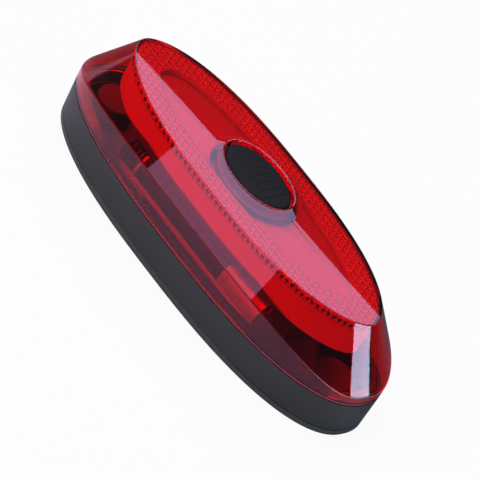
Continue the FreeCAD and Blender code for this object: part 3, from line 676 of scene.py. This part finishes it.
def teeth_painted_shade(tree):
    """Colour of the band's upright rim, where the cut pits are painted as dark teeth of shade that hang from
    its top.
    """
    spot = split_place(tree)
    along = add(tree, "Math", {1: TOOTH_SLANT}, operation="MULTIPLY_ADD")
    wave = add(tree, "Math", {1: PRISM_EDGE / 2 * MM}, operation="PINGPONG")
    slope = TOOTH_HEIGHT * 2 / PRISM_EDGE
    tooth = add(tree, "Math", {1: slope, 2: -PRISM_TOP * MM}, operation="MULTIPLY_ADD")
    height = add(tree, "Math", operation="ADD")
    dark = add(tree, "Math", {1: 0.0}, operation="GREATER_THAN")
    # dark teeth of painted shade on a pale rim
    tone = add(tree, "Mix", {"A": (0.7, 0.6, 0.6, 1), "B": (0.03, 0.0, 0.0, 1)}, data_type="RGBA")
    link = tree.links.new
    link(spot["Y"], along.inputs[0])
    link(spot["X"], along.inputs[2])
    link(along.outputs["Value"], wave.inputs[0])
    link(wave.outputs["Value"], tooth.inputs[0])
    link(tooth.outputs["Value"], height.inputs[0])
    link(spot["Z"], height.inputs[1])
    link(height.outputs["Value"], dark.inputs[0])
    link(dark.outputs["Value"], tone.inputs["Factor"])
    return tone.outputs["Result"]


def outer_rim_mask(tree, place):
    """1 on the upright faces that look away from the lamp's middle, and 0 elsewhere."""
    steep = add(tree, "Math", operation="ABSOLUTE")
    upright = add(tree, "Math", {1: 0.05}, operation="LESS_THAN")
    outward = add(tree, "VectorMath", operation="DOT_PRODUCT")
    away = add(tree, "Math", {1: 0.0}, operation="GREATER_THAN")
    both = add(tree, "Math", operation="MULTIPLY")
    link = tree.links.new
    link(split_place(tree, "Normal")["Z"], steep.inputs[0])
    link(steep.outputs["Value"], upright.inputs[0])
    link(place.outputs["Normal"], outward.inputs[0])
    link(place.outputs["Object"], outward.inputs[1])
    link(outward.outputs["Value"], away.inputs[0])
    link(upright.outputs["Value"], both.inputs[0])
    link(away.outputs["Value"], both.inputs[1])
    return both.outputs["Value"]


def reflex_acrylic_material():
    """The pits and the toothed rim of the prism band, with painted shading; they take their red from the lens
    above.
    """
    material, tree, shader = new_material("reflex_acrylic")
    place = add(tree, "TexCoord")
    whole = add(tree, "Mix", data_type="RGBA")
    link = tree.links.new
    link(outer_rim_mask(tree, place), whole.inputs["Factor"])
    link(pit_painted_shading(tree, place), whole.inputs["A"])
    link(teeth_painted_shade(tree), whole.inputs["B"])
    link(whole.outputs["Result"], shader.inputs["Base Color"])
    link(drifting_value(tree, 0.15, 0.3, 160.0), shader.inputs["Roughness"])
    shader.inputs["Metallic"].default_value = 0.1
    return material


put_piece("reflex_prisms", *prism_field(), reflex_acrylic_material(), "lens_unit", "reflex_plate",
          "red_reflex", smooth=False)


# Button. A soft black rubber cap over a stem, with a flange that keeps it under the lens and seven fine
# ribs across its shallow dome for the thumb.

BUTTON_HALF = (9.55, 5.8)
BUTTON_EDGE_Z = 25.35
BUTTON_DOME = 0.35
BUTTON_EDGE_ROUND = 0.8
BUTTON_EDGE_STEPS = 6
BUTTON_FLANGE_HALF = (10.3, 7.75)
BUTTON_FLANGE_Z = (22.1, 23.0)
BUTTON_STEM = (2.0, 20.05)
BUTTON_COLUMNS = 288
BUTTON_RINGS = 84
RIB_COUNT = 7
RIB_PITCH = 1.95
RIB_WIDTH = 0.5
RIB_LENGTH = 6.2
RIB_HEIGHT = 0.1
RIB_END_SOFTNESS = 0.5
RIB_FIELD_SOFTNESS = 0.1


def soft_step(value, edge, width):
    """From 1 below the edge to 0 above it, smoothly over the width."""
    share = np.clip((value - edge) / width + 0.5, 0, 1)
    return 1 - share * share * (3 - 2 * share)


def band_faces(rows, columns, closed=False):
    """Quads between rings of points, each ring a row of the grid."""
    faces = []
    pairs = [(row, row + 1) for row in range(rows - 1)] + ([(rows - 1, 0)] if closed else [])
    for row, following in pairs:
        for column in range(columns):
            side = (column + 1) % columns
            faces.append((row * columns + column, row * columns + side,
                          following * columns + side, following * columns + column))
    return faces


def bend(angle, steps):
    """Even steps of a turn, from 0 up to the angle."""
    return [angle * step / steps for step in range(steps + 1)]


def rib_relief(x, y):
    """Height of the ribs over the dome: 1 on a rib's crown, 0 between the ribs and past their ends."""
    places = (x / RIB_PITCH + RIB_COUNT / 2) % 1 - 0.5
    across = soft_step(np.abs(places * RIB_PITCH), RIB_WIDTH / 2, RIB_WIDTH / 2)
    lengthwise = soft_step(np.abs(y), RIB_LENGTH / 2, RIB_END_SOFTNESS)
    field = soft_step(np.abs(x), RIB_COUNT * RIB_PITCH / 2, RIB_FIELD_SOFTNESS)
    return across * (lengthwise * field)


def button_mesh():
    """Rings from the stem's foot out over the flange, up the side and in over the ribbed dome."""
    turns = np.arange(BUTTON_COLUMNS) / BUTTON_COLUMNS * FULL_TURN
    cos = np.cos(turns)
    sin = np.sin(turns)

    def ring(half_x, half_y, z):
        """An oval of points at a height."""
        return np.column_stack([half_x * cos, half_y * sin, np.full(BUTTON_COLUMNS, z)])

    half_x, half_y = BUTTON_HALF
    flange_low, flange_high = BUTTON_FLANGE_Z
    stem, stem_low = BUTTON_STEM
    side_top = BUTTON_EDGE_Z - BUTTON_EDGE_ROUND
    rows = [ring(stem / 2, stem / 2, stem_low), ring(stem, stem, stem_low), ring(stem, stem, flange_low),
            ring(*BUTTON_FLANGE_HALF, flange_low), ring(*BUTTON_FLANGE_HALF, flange_high),
            ring(half_x, half_y, flange_high), ring(half_x, half_y, side_top)]
    for angle in bend(math.pi / 2, BUTTON_EDGE_STEPS)[1:]:
        inset = BUTTON_EDGE_ROUND * (1 - math.cos(angle))
        level = BUTTON_EDGE_Z - BUTTON_EDGE_ROUND * (1 - math.sin(angle))
        rows.append(ring(half_x - inset, half_y - inset, level))
    for step in range(1, BUTTON_RINGS):
        share = 1 - step / BUTTON_RINGS
        x = (half_x - BUTTON_EDGE_ROUND) * share * cos
        y = (half_y - BUTTON_EDGE_ROUND) * share * sin
        dome = BUTTON_DOME * (1 - share * share)
        rows.append(np.column_stack([x, y, BUTTON_EDGE_Z + dome + RIB_HEIGHT * rib_relief(x, y)]))
    points = [tuple(point) for row in rows for point in row]
    faces = band_faces(len(rows), BUTTON_COLUMNS)
    last = len(points) - BUTTON_COLUMNS
    foot, crown = len(points), len(points) + 1
    points += [(0, 0, stem_low), (0, 0, BUTTON_EDGE_Z + BUTTON_DOME + RIB_HEIGHT)]
    for column in range(BUTTON_COLUMNS):
        side = (column + 1) % BUTTON_COLUMNS
        faces += [(side, column, foot), (last + column, last + side, crown)]
    return points, faces


FLANGE_GLOW_BELOW = 0.0236
FLANGE_PAINTED_GLOW = (0.13, 0.08, 0.07)


def button_rubber_material():
    """Matt black rubber; the flange under the lens is painted a paler warm tone, a painted glow of the red
    light there.
    """
    material = moulded_plastic("button_rubber", (0.005, 0.0055, 0.0055), (0.009, 0.0095, 0.0095),
                               grain=2200.0, roughness=(0.55, 0.68), relief=0.2, specular=0.1)
    tree = material.node_tree
    low = add(tree, "Math", {1: FLANGE_GLOW_BELOW}, operation="LESS_THAN")
    tree.links.new(split_place(tree)["Z"], low.inputs[0])
    # painted glow on the flange under the lens
    paint_over(material, low.outputs["Value"], FLANGE_PAINTED_GLOW)
    return material


put_piece("button_cap", *button_mesh(), button_rubber_material(), "button", "button", "button_rubber")


# Lens. One clear red acrylic moulding: flat front face, sloping wall, upright band, a foot with a spigot
# that fits in the housing, and a raised collar round the button. Its edges are softly rounded and polished.

WALL_RUN = 0.647
LENS_BOTTOM = 9.3
LENS_FRONT = 24.5
LENS_INSIDE = 23.3
LENS_WALL = 0.95
LENS_FOOT_TOP = 9.95
SPIGOT_BOTTOM = 6.6
SPIGOT_INSETS = (2.15, 3.35)
COLLAR_HOLE = (9.85, 6.1)
COLLAR_TOP = 25.75
COLLAR_LIP = 0.45
COLLAR_DROP = 0.15
COLLAR_STEP = 0.02
COLLAR_HOLE_ROUND = 0.15
COLLAR_RIM_ROUND = 0.12
COLLAR_RIM_STEPS = 6
COLLAR_FLANK = 1.95
FLANK_STEPS = 12
FRONT_EDGE_ROUND = 0.4
FRONT_EDGE_STEPS = 6
RIDGE_ROUND = 0.9
RIDGE_STEPS = 8
INSIDE_RIDGE_ROUND = 0.6
FOOT_EDGE_ROUND = 0.36
SMALL_EDGE_STEPS = 4
LENS_COLUMNS = 480
DENSE_STEPS = 20001
REACH_SAMPLES = 2401


def even_turns(count):
    """Turns that space the columns evenly along the face and the body together."""
    dense = np.linspace(0, FULL_TURN, DENSE_STEPS)
    run = np.zeros(DENSE_STEPS)
    for outline in (FACE, BODY):
        points = oval(outline, 0, dense)
        run[1:] += np.cumsum(np.hypot(*np.diff(points, axis=0).T))
    return np.interp(np.arange(count) / count * run[-1], run, dense)


def reach(starts, ways, outline, grow):
    """How far a ray runs from each start along its way to an outline moved by grow."""
    rim = oval(outline, grow, np.linspace(0, FULL_TURN, REACH_SAMPLES))
    found = np.empty(len(starts))
    for index, (start, way) in enumerate(zip(starts, ways)):
        offset = rim - start
        side = way[0] * offset[:, 1] - way[1] * offset[:, 0]
        ahead = offset @ way
        crosses = (side[:-1] * side[1:] <= 0) & (ahead[:-1] > 0) & (side[:-1] != side[1:])
        crossing = np.nonzero(crosses)[0][0]
        share = side[crossing] / (side[crossing] - side[crossing + 1])
        found[index] = ahead[crossing] + share * (ahead[crossing + 1] - ahead[crossing])
    return found


def collar_rings(cos, sin):
    """The collar from its hole's lower edge up over the lip and the rim, and down its flank to the face."""
    def ring(spread, z):
        """An oval of points that runs spread outside the hole, at a height."""
        return np.column_stack([(COLLAR_HOLE[0] + spread) * cos, (COLLAR_HOLE[1] + spread) * sin,
                                np.full(len(cos), z)])

    rings = [ring(0, LENS_INSIDE)]
    lip_low = COLLAR_TOP - COLLAR_DROP
    for angle in bend(math.pi / 2, SMALL_EDGE_STEPS):
        out = COLLAR_HOLE_ROUND * (1 - math.cos(angle))
        level = lip_low - COLLAR_HOLE_ROUND * (1 - math.sin(angle)) + COLLAR_DROP * out / COLLAR_LIP
        rings.append(ring(out, level))
    rim = COLLAR_LIP - COLLAR_RIM_ROUND / 2
    crown = COLLAR_TOP - COLLAR_STEP
    for angle in bend(math.pi / 2, COLLAR_RIM_STEPS):
        level = crown - COLLAR_RIM_ROUND * (1 - math.cos(angle))
        rings.append(ring(rim + COLLAR_RIM_ROUND * math.sin(angle), level))
    foot = rim + COLLAR_RIM_ROUND
    rise = crown - COLLAR_RIM_ROUND - LENS_FRONT
    for step in range(1, FLANK_STEPS + 1):
        share = step / FLANK_STEPS
        rings.append(ring(foot + COLLAR_FLANK * share, LENS_FRONT + rise * (1 - share)))
    return rings


def lens_mesh():
    """Points and faces of the closed shell, and the bands of it that have a finish of their own, each as its
    first row of faces and its number of rows."""
    turns = even_turns(LENS_COLUMNS)
    edge, ways = oval_with_normals(FACE, turns)
    outer = reach(edge, ways, BODY, 0)
    inner = reach(edge, ways, BODY, -LENS_WALL)
    spigot_out, spigot_in = [reach(edge, ways, BODY, -inset) for inset in SPIGOT_INSETS]
    slope_drop = math.atan2(1, WALL_RUN)
    turn_left = math.pi / 2 - slope_drop
    inner_shift = LENS_WALL * math.hypot(1, WALL_RUN)

    def wall(run, z):
        """Ring of points that lie run outside the face's outline."""
        place = edge + ways * np.broadcast_to(run, (LENS_COLUMNS,))[:, None]
        return np.column_stack([place, np.broadcast_to(z, (LENS_COLUMNS,))])

    rows = collar_rings(np.cos(turns), np.sin(turns))
    flank_rows = FLANK_STEPS + COLLAR_RIM_STEPS // 2
    bands = {"collar_fillet": (len(rows) - 1 - flank_rows, flank_rows)}
    # front edge, from the flat face into the slope; its arris, the middle of the rounding, has a painted
    # highlight
    bands["front_arris_highlight"] = (len(rows) + FRONT_EDGE_STEPS // 2 - 1, 2)
    back = FRONT_EDGE_ROUND * math.tan(slope_drop / 2)
    for angle in bend(slope_drop, FRONT_EDGE_STEPS):
        level = LENS_FRONT - FRONT_EDGE_ROUND * (1 - math.cos(angle))
        rows.append(wall(-back + FRONT_EDGE_ROUND * math.sin(angle), level))
    # rounded ridge between the slope and the upright band; its middle row has a painted highlight
    bands["ridge_arris_highlight"] = (len(rows) + RIDGE_STEPS // 2 - 1, 1)
    ridge_top = LENS_FRONT - outer / WALL_RUN - RIDGE_ROUND * math.tan(turn_left / 2)
    for angle in reversed(bend(turn_left, RIDGE_STEPS)):
        level = ridge_top + RIDGE_ROUND * math.sin(angle)
        rows.append(wall(outer - RIDGE_ROUND * (1 - math.cos(angle)), level))
    # foot edge, with its painted glow, then underside and spigot
    bands["lens_edge_glow"] = (len(rows), SMALL_EDGE_STEPS)
    for angle in bend(math.pi / 2, SMALL_EDGE_STEPS):
        level = LENS_BOTTOM + FOOT_EDGE_ROUND * (1 - math.sin(angle))
        rows.append(wall(outer - FOOT_EDGE_ROUND * (1 - math.cos(angle)), level))
    rows += [wall(spigot_out, LENS_BOTTOM), wall(spigot_out, SPIGOT_BOTTOM), wall(spigot_in, SPIGOT_BOTTOM),
             wall(spigot_in, LENS_FOOT_TOP), wall(inner, LENS_FOOT_TOP)]
    # inside of the band, its ridge and the slope, up to the ceiling that lies on the reflex plate
    inner_ridge = LENS_FRONT - (inner + inner_shift) / WALL_RUN - INSIDE_RIDGE_ROUND * math.tan(turn_left / 2)
    for angle in bend(turn_left, SMALL_EDGE_STEPS):
        level = inner_ridge + INSIDE_RIDGE_ROUND * math.sin(angle)
        rows.append(wall(inner - INSIDE_RIDGE_ROUND * (1 - math.cos(angle)), level))
    bands["lens_bond"] = (len(rows), 1)
    rows.append(wall(WALL_RUN * (LENS_FRONT - LENS_INSIDE) - inner_shift, LENS_INSIDE))
    rows.append(np.column_stack([oval(WINDOW, 0, turns), np.full(LENS_COLUMNS, LENS_INSIDE)]))
    points = [tuple(point) for row in rows for point in row]
    return points, band_faces(len(rows), LENS_COLUMNS, closed=True), bands


ACRYLIC_IOR = 1.49
BOND_IOR = 1.05
LENS_SHADOW = 0.06
FILLET_LEAN = 0.97


def lens_acrylic_material(name, ior=ACRYLIC_IOR, upright=0.0):
    """Clear red acrylic. Shadow rays pass it, so that light reaches the tray and the prisms; upright is how
    far its shading leans to the lens's own up, for a flank that runs out into the flat face."""
    material, tree, shader = new_material(name)
    path = add(tree, "LightPath")
    clear = add(tree, "MapRange", {"To Min": 1.0, "To Max": LENS_SHADOW})
    link = tree.links.new
    link(drifting_tone(tree, (0.84, 0.0025, 0.007), (0.9, 0.004, 0.010), 60.0), shader.inputs["Base Color"])
    link(drifting_value(tree, 0.0, 0.014, 150.0, 3.0), shader.inputs["Roughness"])
    link(path.outputs["Is Shadow Ray"], clear.inputs["Value"])
    link(clear.outputs["Result"], shader.inputs["Alpha"])
    shader.inputs["Transmission Weight"].default_value = 1.0
    shader.inputs["Specular Tint"].default_value = (0.8, 0.72, 1.0, 1)
    shader.inputs["IOR"].default_value = ior
    if upright:
        surface = add(tree, "NewGeometry")
        up = add(tree, "VectorTransform", {"Vector": (0, 0, 1)}, vector_type="NORMAL", convert_from="OBJECT",
                 convert_to="WORLD")
        lean = add(tree, "Mix", {"Factor": upright}, data_type="VECTOR")
        link(surface.outputs["Normal"], lean.inputs["A"])
        link(up.outputs["Vector"], lean.inputs["B"])
        link(lean.outputs["Result"], shader.inputs["Normal"])
    return material


def painted_foot_glow_material():
    """The lens's lower edge, where its light gathers: a painted glow, a fine satin line of pinkish red."""
    material, tree, shader = new_material("lens_edge_glow")
    tone = drifting_tone(tree, (0.88, 0.035, 0.07), (0.98, 0.05, 0.1), 90.0)
    tree.links.new(tone, shader.inputs["Base Color"])
    shader.inputs["Roughness"].default_value = 0.25
    return material


def painted_arris_highlight_material(name, axis, stops, gloss):
    """A polished arris, a hair's breadth wide, painted as a highlight of the room's light; its colour changes
    along an axis through stops of (millimetres, colour)."""
    material, tree, shader = new_material(name)
    low, high = stops[0][0], stops[-1][0]
    along = add(tree, "MapRange", {"From Min": low * MM, "From Max": high * MM})
    tones = add(tree, "ValToRGB")
    ramp = tones.color_ramp
    ramp.elements[0].color = (*stops[0][1], 1)
    ramp.elements[1].color = (*stops[-1][1], 1)
    for spot, colour in stops[1:-1]:
        ramp.elements.new((spot - low) / (high - low)).color = (*colour, 1)
    link = tree.links.new
    link(split_place(tree)[axis], along.inputs["Value"])
    link(along.outputs["Result"], tones.inputs["Fac"])
    link(tones.outputs["Color"], shader.inputs["Base Color"])
    link(drifting_value(tree, 0.2, 0.4, 90.0), shader.inputs["Roughness"])
    shader.inputs["Specular IOR Level"].default_value = gloss
    return material


# painted highlight colours along the front arris and the ridge, as (millimetres, colour)
FRONT_HIGHLIGHT_STOPS = [(-13.0, (0.62, 0.13, 0.2)), (-11.5, (0.5, 0.07, 0.11)), (-9.0, (0.3, 0.01, 0.02)),
               (2.0, (0.2, 0.04, 0.04)), (13.0, (0.26, 0.11, 0.11))]
RIDGE_HIGHLIGHT_STOPS = [(-50.0, (0.8, 0.42, 0.48)), (-46.0, (0.35, 0.03, 0.06)), (-38.0, (0.1, 0.0, 0.008)),
               (36.0, (0.1, 0.0, 0.008)), (42.0, (0.5, 0.1, 0.15)), (46.0, (1.0, 0.62, 0.68)),
               (50.0, (1.0, 0.66, 0.72))]

lens_points, lens_faces, lens_bands = lens_mesh()
lens_shell = put_piece("lens_shell", lens_points, lens_faces, lens_acrylic_material("lens_acrylic"),
                       "lens_unit", "lens", "red_lens")
band_finishes = {"lens_bond": lens_acrylic_material("lens_bond", BOND_IOR), "lens_edge_glow": painted_foot_glow_material(),
                 "front_arris_highlight": painted_arris_highlight_material("front_arris_highlight", "Y", FRONT_HIGHLIGHT_STOPS, 0.2),
                 "ridge_arris_highlight": painted_arris_highlight_material("ridge_arris_highlight", "X", RIDGE_HIGHLIGHT_STOPS, 0.7),
                 "collar_fillet": lens_acrylic_material("collar_fillet", upright=FILLET_LEAN)}
for slot, (band, material) in enumerate(band_finishes.items(), 1):
    lens_shell.data.materials.append(material)
    start, count = lens_bands[band]
    for face in range(start * LENS_COLUMNS, (start + count) * LENS_COLUMNS):
        lens_shell.data.polygons[face].material_index = slot


# Floor. A wide sheet of pale studio paper under the lamp, which keeps its soft shadow. It glows near white
# where the camera looks straight at it. A dark card behind the lamp shows in mirrors alone.

FLOOR_HALF = 4.0
FLOOR_GLOW = 0.93
GLOW_THROUGH_LENS = 0.25
CARD_FROM = 0.0
CARD_FULL = 0.014


def floor_material():
    """Paper and card, mixed with an even glow for camera rays and in part for rays through the lens."""
    material, tree, shader = new_material("studio_floor")
    tree.nodes.remove(shader)
    behind = add(tree, "MapRange", {"From Min": CARD_FROM, "From Max": CARD_FULL})
    mirrored = add(tree, "Math", operation="MULTIPLY")
    tone = add(tree, "Mix", {"A": (0.66, 0.65, 0.67, 1), "B": (0.12, 0.1, 0.105, 1)}, data_type="RGBA")
    paper = add(tree, "BsdfDiffuse")
    glow = add(tree, "Emission", {"Strength": 1.0})
    path = add(tree, "LightPath")
    through = add(tree, "Math", {1: GLOW_THROUGH_LENS}, operation="MULTIPLY")
    seen = add(tree, "Math", operation="MAXIMUM")
    share = add(tree, "Math", {1: FLOOR_GLOW}, operation="MULTIPLY")
    mix = add(tree, "MixShader")
    link = tree.links.new
    link(split_place(tree)["Y"], behind.inputs["Value"])
    link(behind.outputs["Result"], mirrored.inputs[0])
    link(path.outputs["Is Glossy Ray"], mirrored.inputs[1])
    link(mirrored.outputs["Value"], tone.inputs["Factor"])
    link(tone.outputs["Result"], paper.inputs["Color"])
    link(path.outputs["Is Camera Ray"], seen.inputs[0])
    link(path.outputs["Is Transmission Ray"], through.inputs[0])
    link(through.outputs["Value"], seen.inputs[1])
    link(seen.outputs["Value"], share.inputs[0])
    link(share.outputs["Value"], mix.inputs["Fac"])
    link(paper.outputs["BSDF"], mix.inputs[1])
    link(glow.outputs["Emission"], mix.inputs[2])
    link(mix.outputs["Shader"], tree.nodes["Material Output"].inputs["Surface"])
    return material


floor_mesh = bpy.data.meshes.new("floor")
floor_corners = [(x * FLOOR_HALF, y * FLOOR_HALF, 0) for x, y in ((-1, -1), (1, -1), (1, 1), (-1, 1))]
floor_mesh.from_pydata(floor_corners, [], [(0, 1, 2, 3)])
floor_mesh.materials.append(floor_material())
floor = bpy.data.objects.new("floor", floor_mesh)
bpy.context.scene.collection.objects.link(floor)


# Studio light. Soft boxes in a dim room. The key one is behind and above, and its lower edge mirrors across
# the front face. One low in front mirrors in the near slope, one high in front lights the inside, and a
# narrow strip at the right mirrors down the end.

def softbox(name, centre, way, along, size, radiance, colour=(1, 1, 1)):
    """A rectangular area lamp of a given radiance that faces a way, with its width along a line."""
    data = bpy.data.lights.new(name, "AREA")
    data.shape = "RECTANGLE"
    data.size, data.size_y = size
    data.energy = radiance * math.pi * size[0] * size[1]
    data.color = colour
    lamp = bpy.data.objects.new(name, data)
    way = way.normalized()
    along = (along - way * along.dot(way)).normalized()
    lamp.matrix_world = Matrix((along, along.cross(way), -way)).transposed().to_4x4()
    lamp.location = centre
    lamp.visible_camera = False
    bpy.context.scene.collection.objects.link(lamp)


def direction(azimuth, elevation):
    """Unit vector at an azimuth, 0 towards -Y and 90 towards +X, and an elevation, in degrees."""
    turn = math.radians(azimuth)
    rise = math.radians(elevation)
    return Vector((math.sin(turn) * math.cos(rise), -math.cos(turn) * math.cos(rise), math.sin(rise)))


FACE_MIDDLE = Vector((0, 0, 0.0245))
ALONG_LAMP = Vector((1, 0, 0))
LIGHT_DISTANCE = 1.2

KEY_SIZE = (1.1, 1.2)
KEY_EDGE = Vector((-0.4294, 0.6735, 0.6225))
KEY_ALONG = Vector((0.9615, 0.2468, 0.121)).normalized()
key_way = FACE_MIDDLE - KEY_EDGE
key_way = (key_way - KEY_ALONG * key_way.dot(KEY_ALONG)).normalized()
key_up = key_way.cross(KEY_ALONG)
softbox("key_softbox", KEY_EDGE + key_up * KEY_SIZE[1] / 2, key_way, KEY_ALONG, KEY_SIZE, radiance=3.5,
        colour=(0.74, 0.69, 1.0))
side_place = direction(-21.0, 22.0) * LIGHT_DISTANCE
softbox("side_softbox", side_place, -side_place, ALONG_LAMP, (0.59, 0.5), radiance=2.4,
        colour=(0.9, 0.72, 0.95))
STRIP_PLACE = Vector((0.49, 0.08, 0.17))
STRIP_AIM = Vector((0.04, 0, 0.015))
STRIP_ALONG = Vector((0, 0.93, -0.37))
softbox("strip_light", STRIP_PLACE, STRIP_AIM - STRIP_PLACE, STRIP_ALONG, (0.6, 0.044), radiance=13.0,
        colour=(0.55, 0.95, 1.0))
front_place = direction(-35.0, 56.0) * LIGHT_DISTANCE
softbox("front_softbox", front_place, -front_place, ALONG_LAMP, (0.9, 0.6), radiance=5.0)

ROOM_LIGHT = 0.05
ROOM_IN_GLOSS = 0.11
world = bpy.data.worlds.new("studio_room")
world.use_nodes = True
world_tree = world.node_tree
world_tree.nodes["Background"].inputs["Color"].default_value = (1, 1, 1, 1)
world_path = add(world_tree, "LightPath")
world_level = add(world_tree, "MapRange", {"To Min": ROOM_LIGHT, "To Max": ROOM_IN_GLOSS})
world_tree.links.new(world_path.outputs["Is Glossy Ray"], world_level.inputs["Value"])
world_tree.links.new(world_level.outputs["Result"], world_tree.nodes["Background"].inputs["Strength"])
bpy.context.scene.world = world


# Camera. A long lens from the front right and above, rolled so that the lamp runs down to the right. Its
# angles and its distance were fitted to the outline of the lamp in the photograph.

CAMERA_AZIMUTH = 32.475
CAMERA_ELEVATION = 37.518
CAMERA_ROLL = 30.596
CAMERA_DISTANCE = 0.8867
CAMERA_AIM = (-0.0031158, 0.0112067, 0.0)
CAMERA_LENS = 315.57

back = direction(CAMERA_AZIMUTH, CAMERA_ELEVATION)
level = Vector((math.cos(math.radians(CAMERA_AZIMUTH)), math.sin(math.radians(CAMERA_AZIMUTH)), 0))
rise = back.cross(level)
roll = math.radians(CAMERA_ROLL)
right = level * math.cos(roll) + rise * math.sin(roll)
up = rise * math.cos(roll) - level * math.sin(roll)
camera_data = bpy.data.cameras.new("camera")
camera_data.sensor_width = 36.0
camera_data.lens = CAMERA_LENS
camera_data.clip_start = 0.05
camera_data.clip_end = 50.0
camera = bpy.data.objects.new("camera", camera_data)
camera_place = Matrix((right, up, back)).transposed().to_4x4()
camera_place.translation = Vector(CAMERA_AIM) + back * CAMERA_DISTANCE
camera.matrix_world = camera_place
bpy.context.scene.collection.objects.link(camera)
bpy.context.scene.camera = camera
bpy.context.scene.view_settings.view_transform = "Standard"
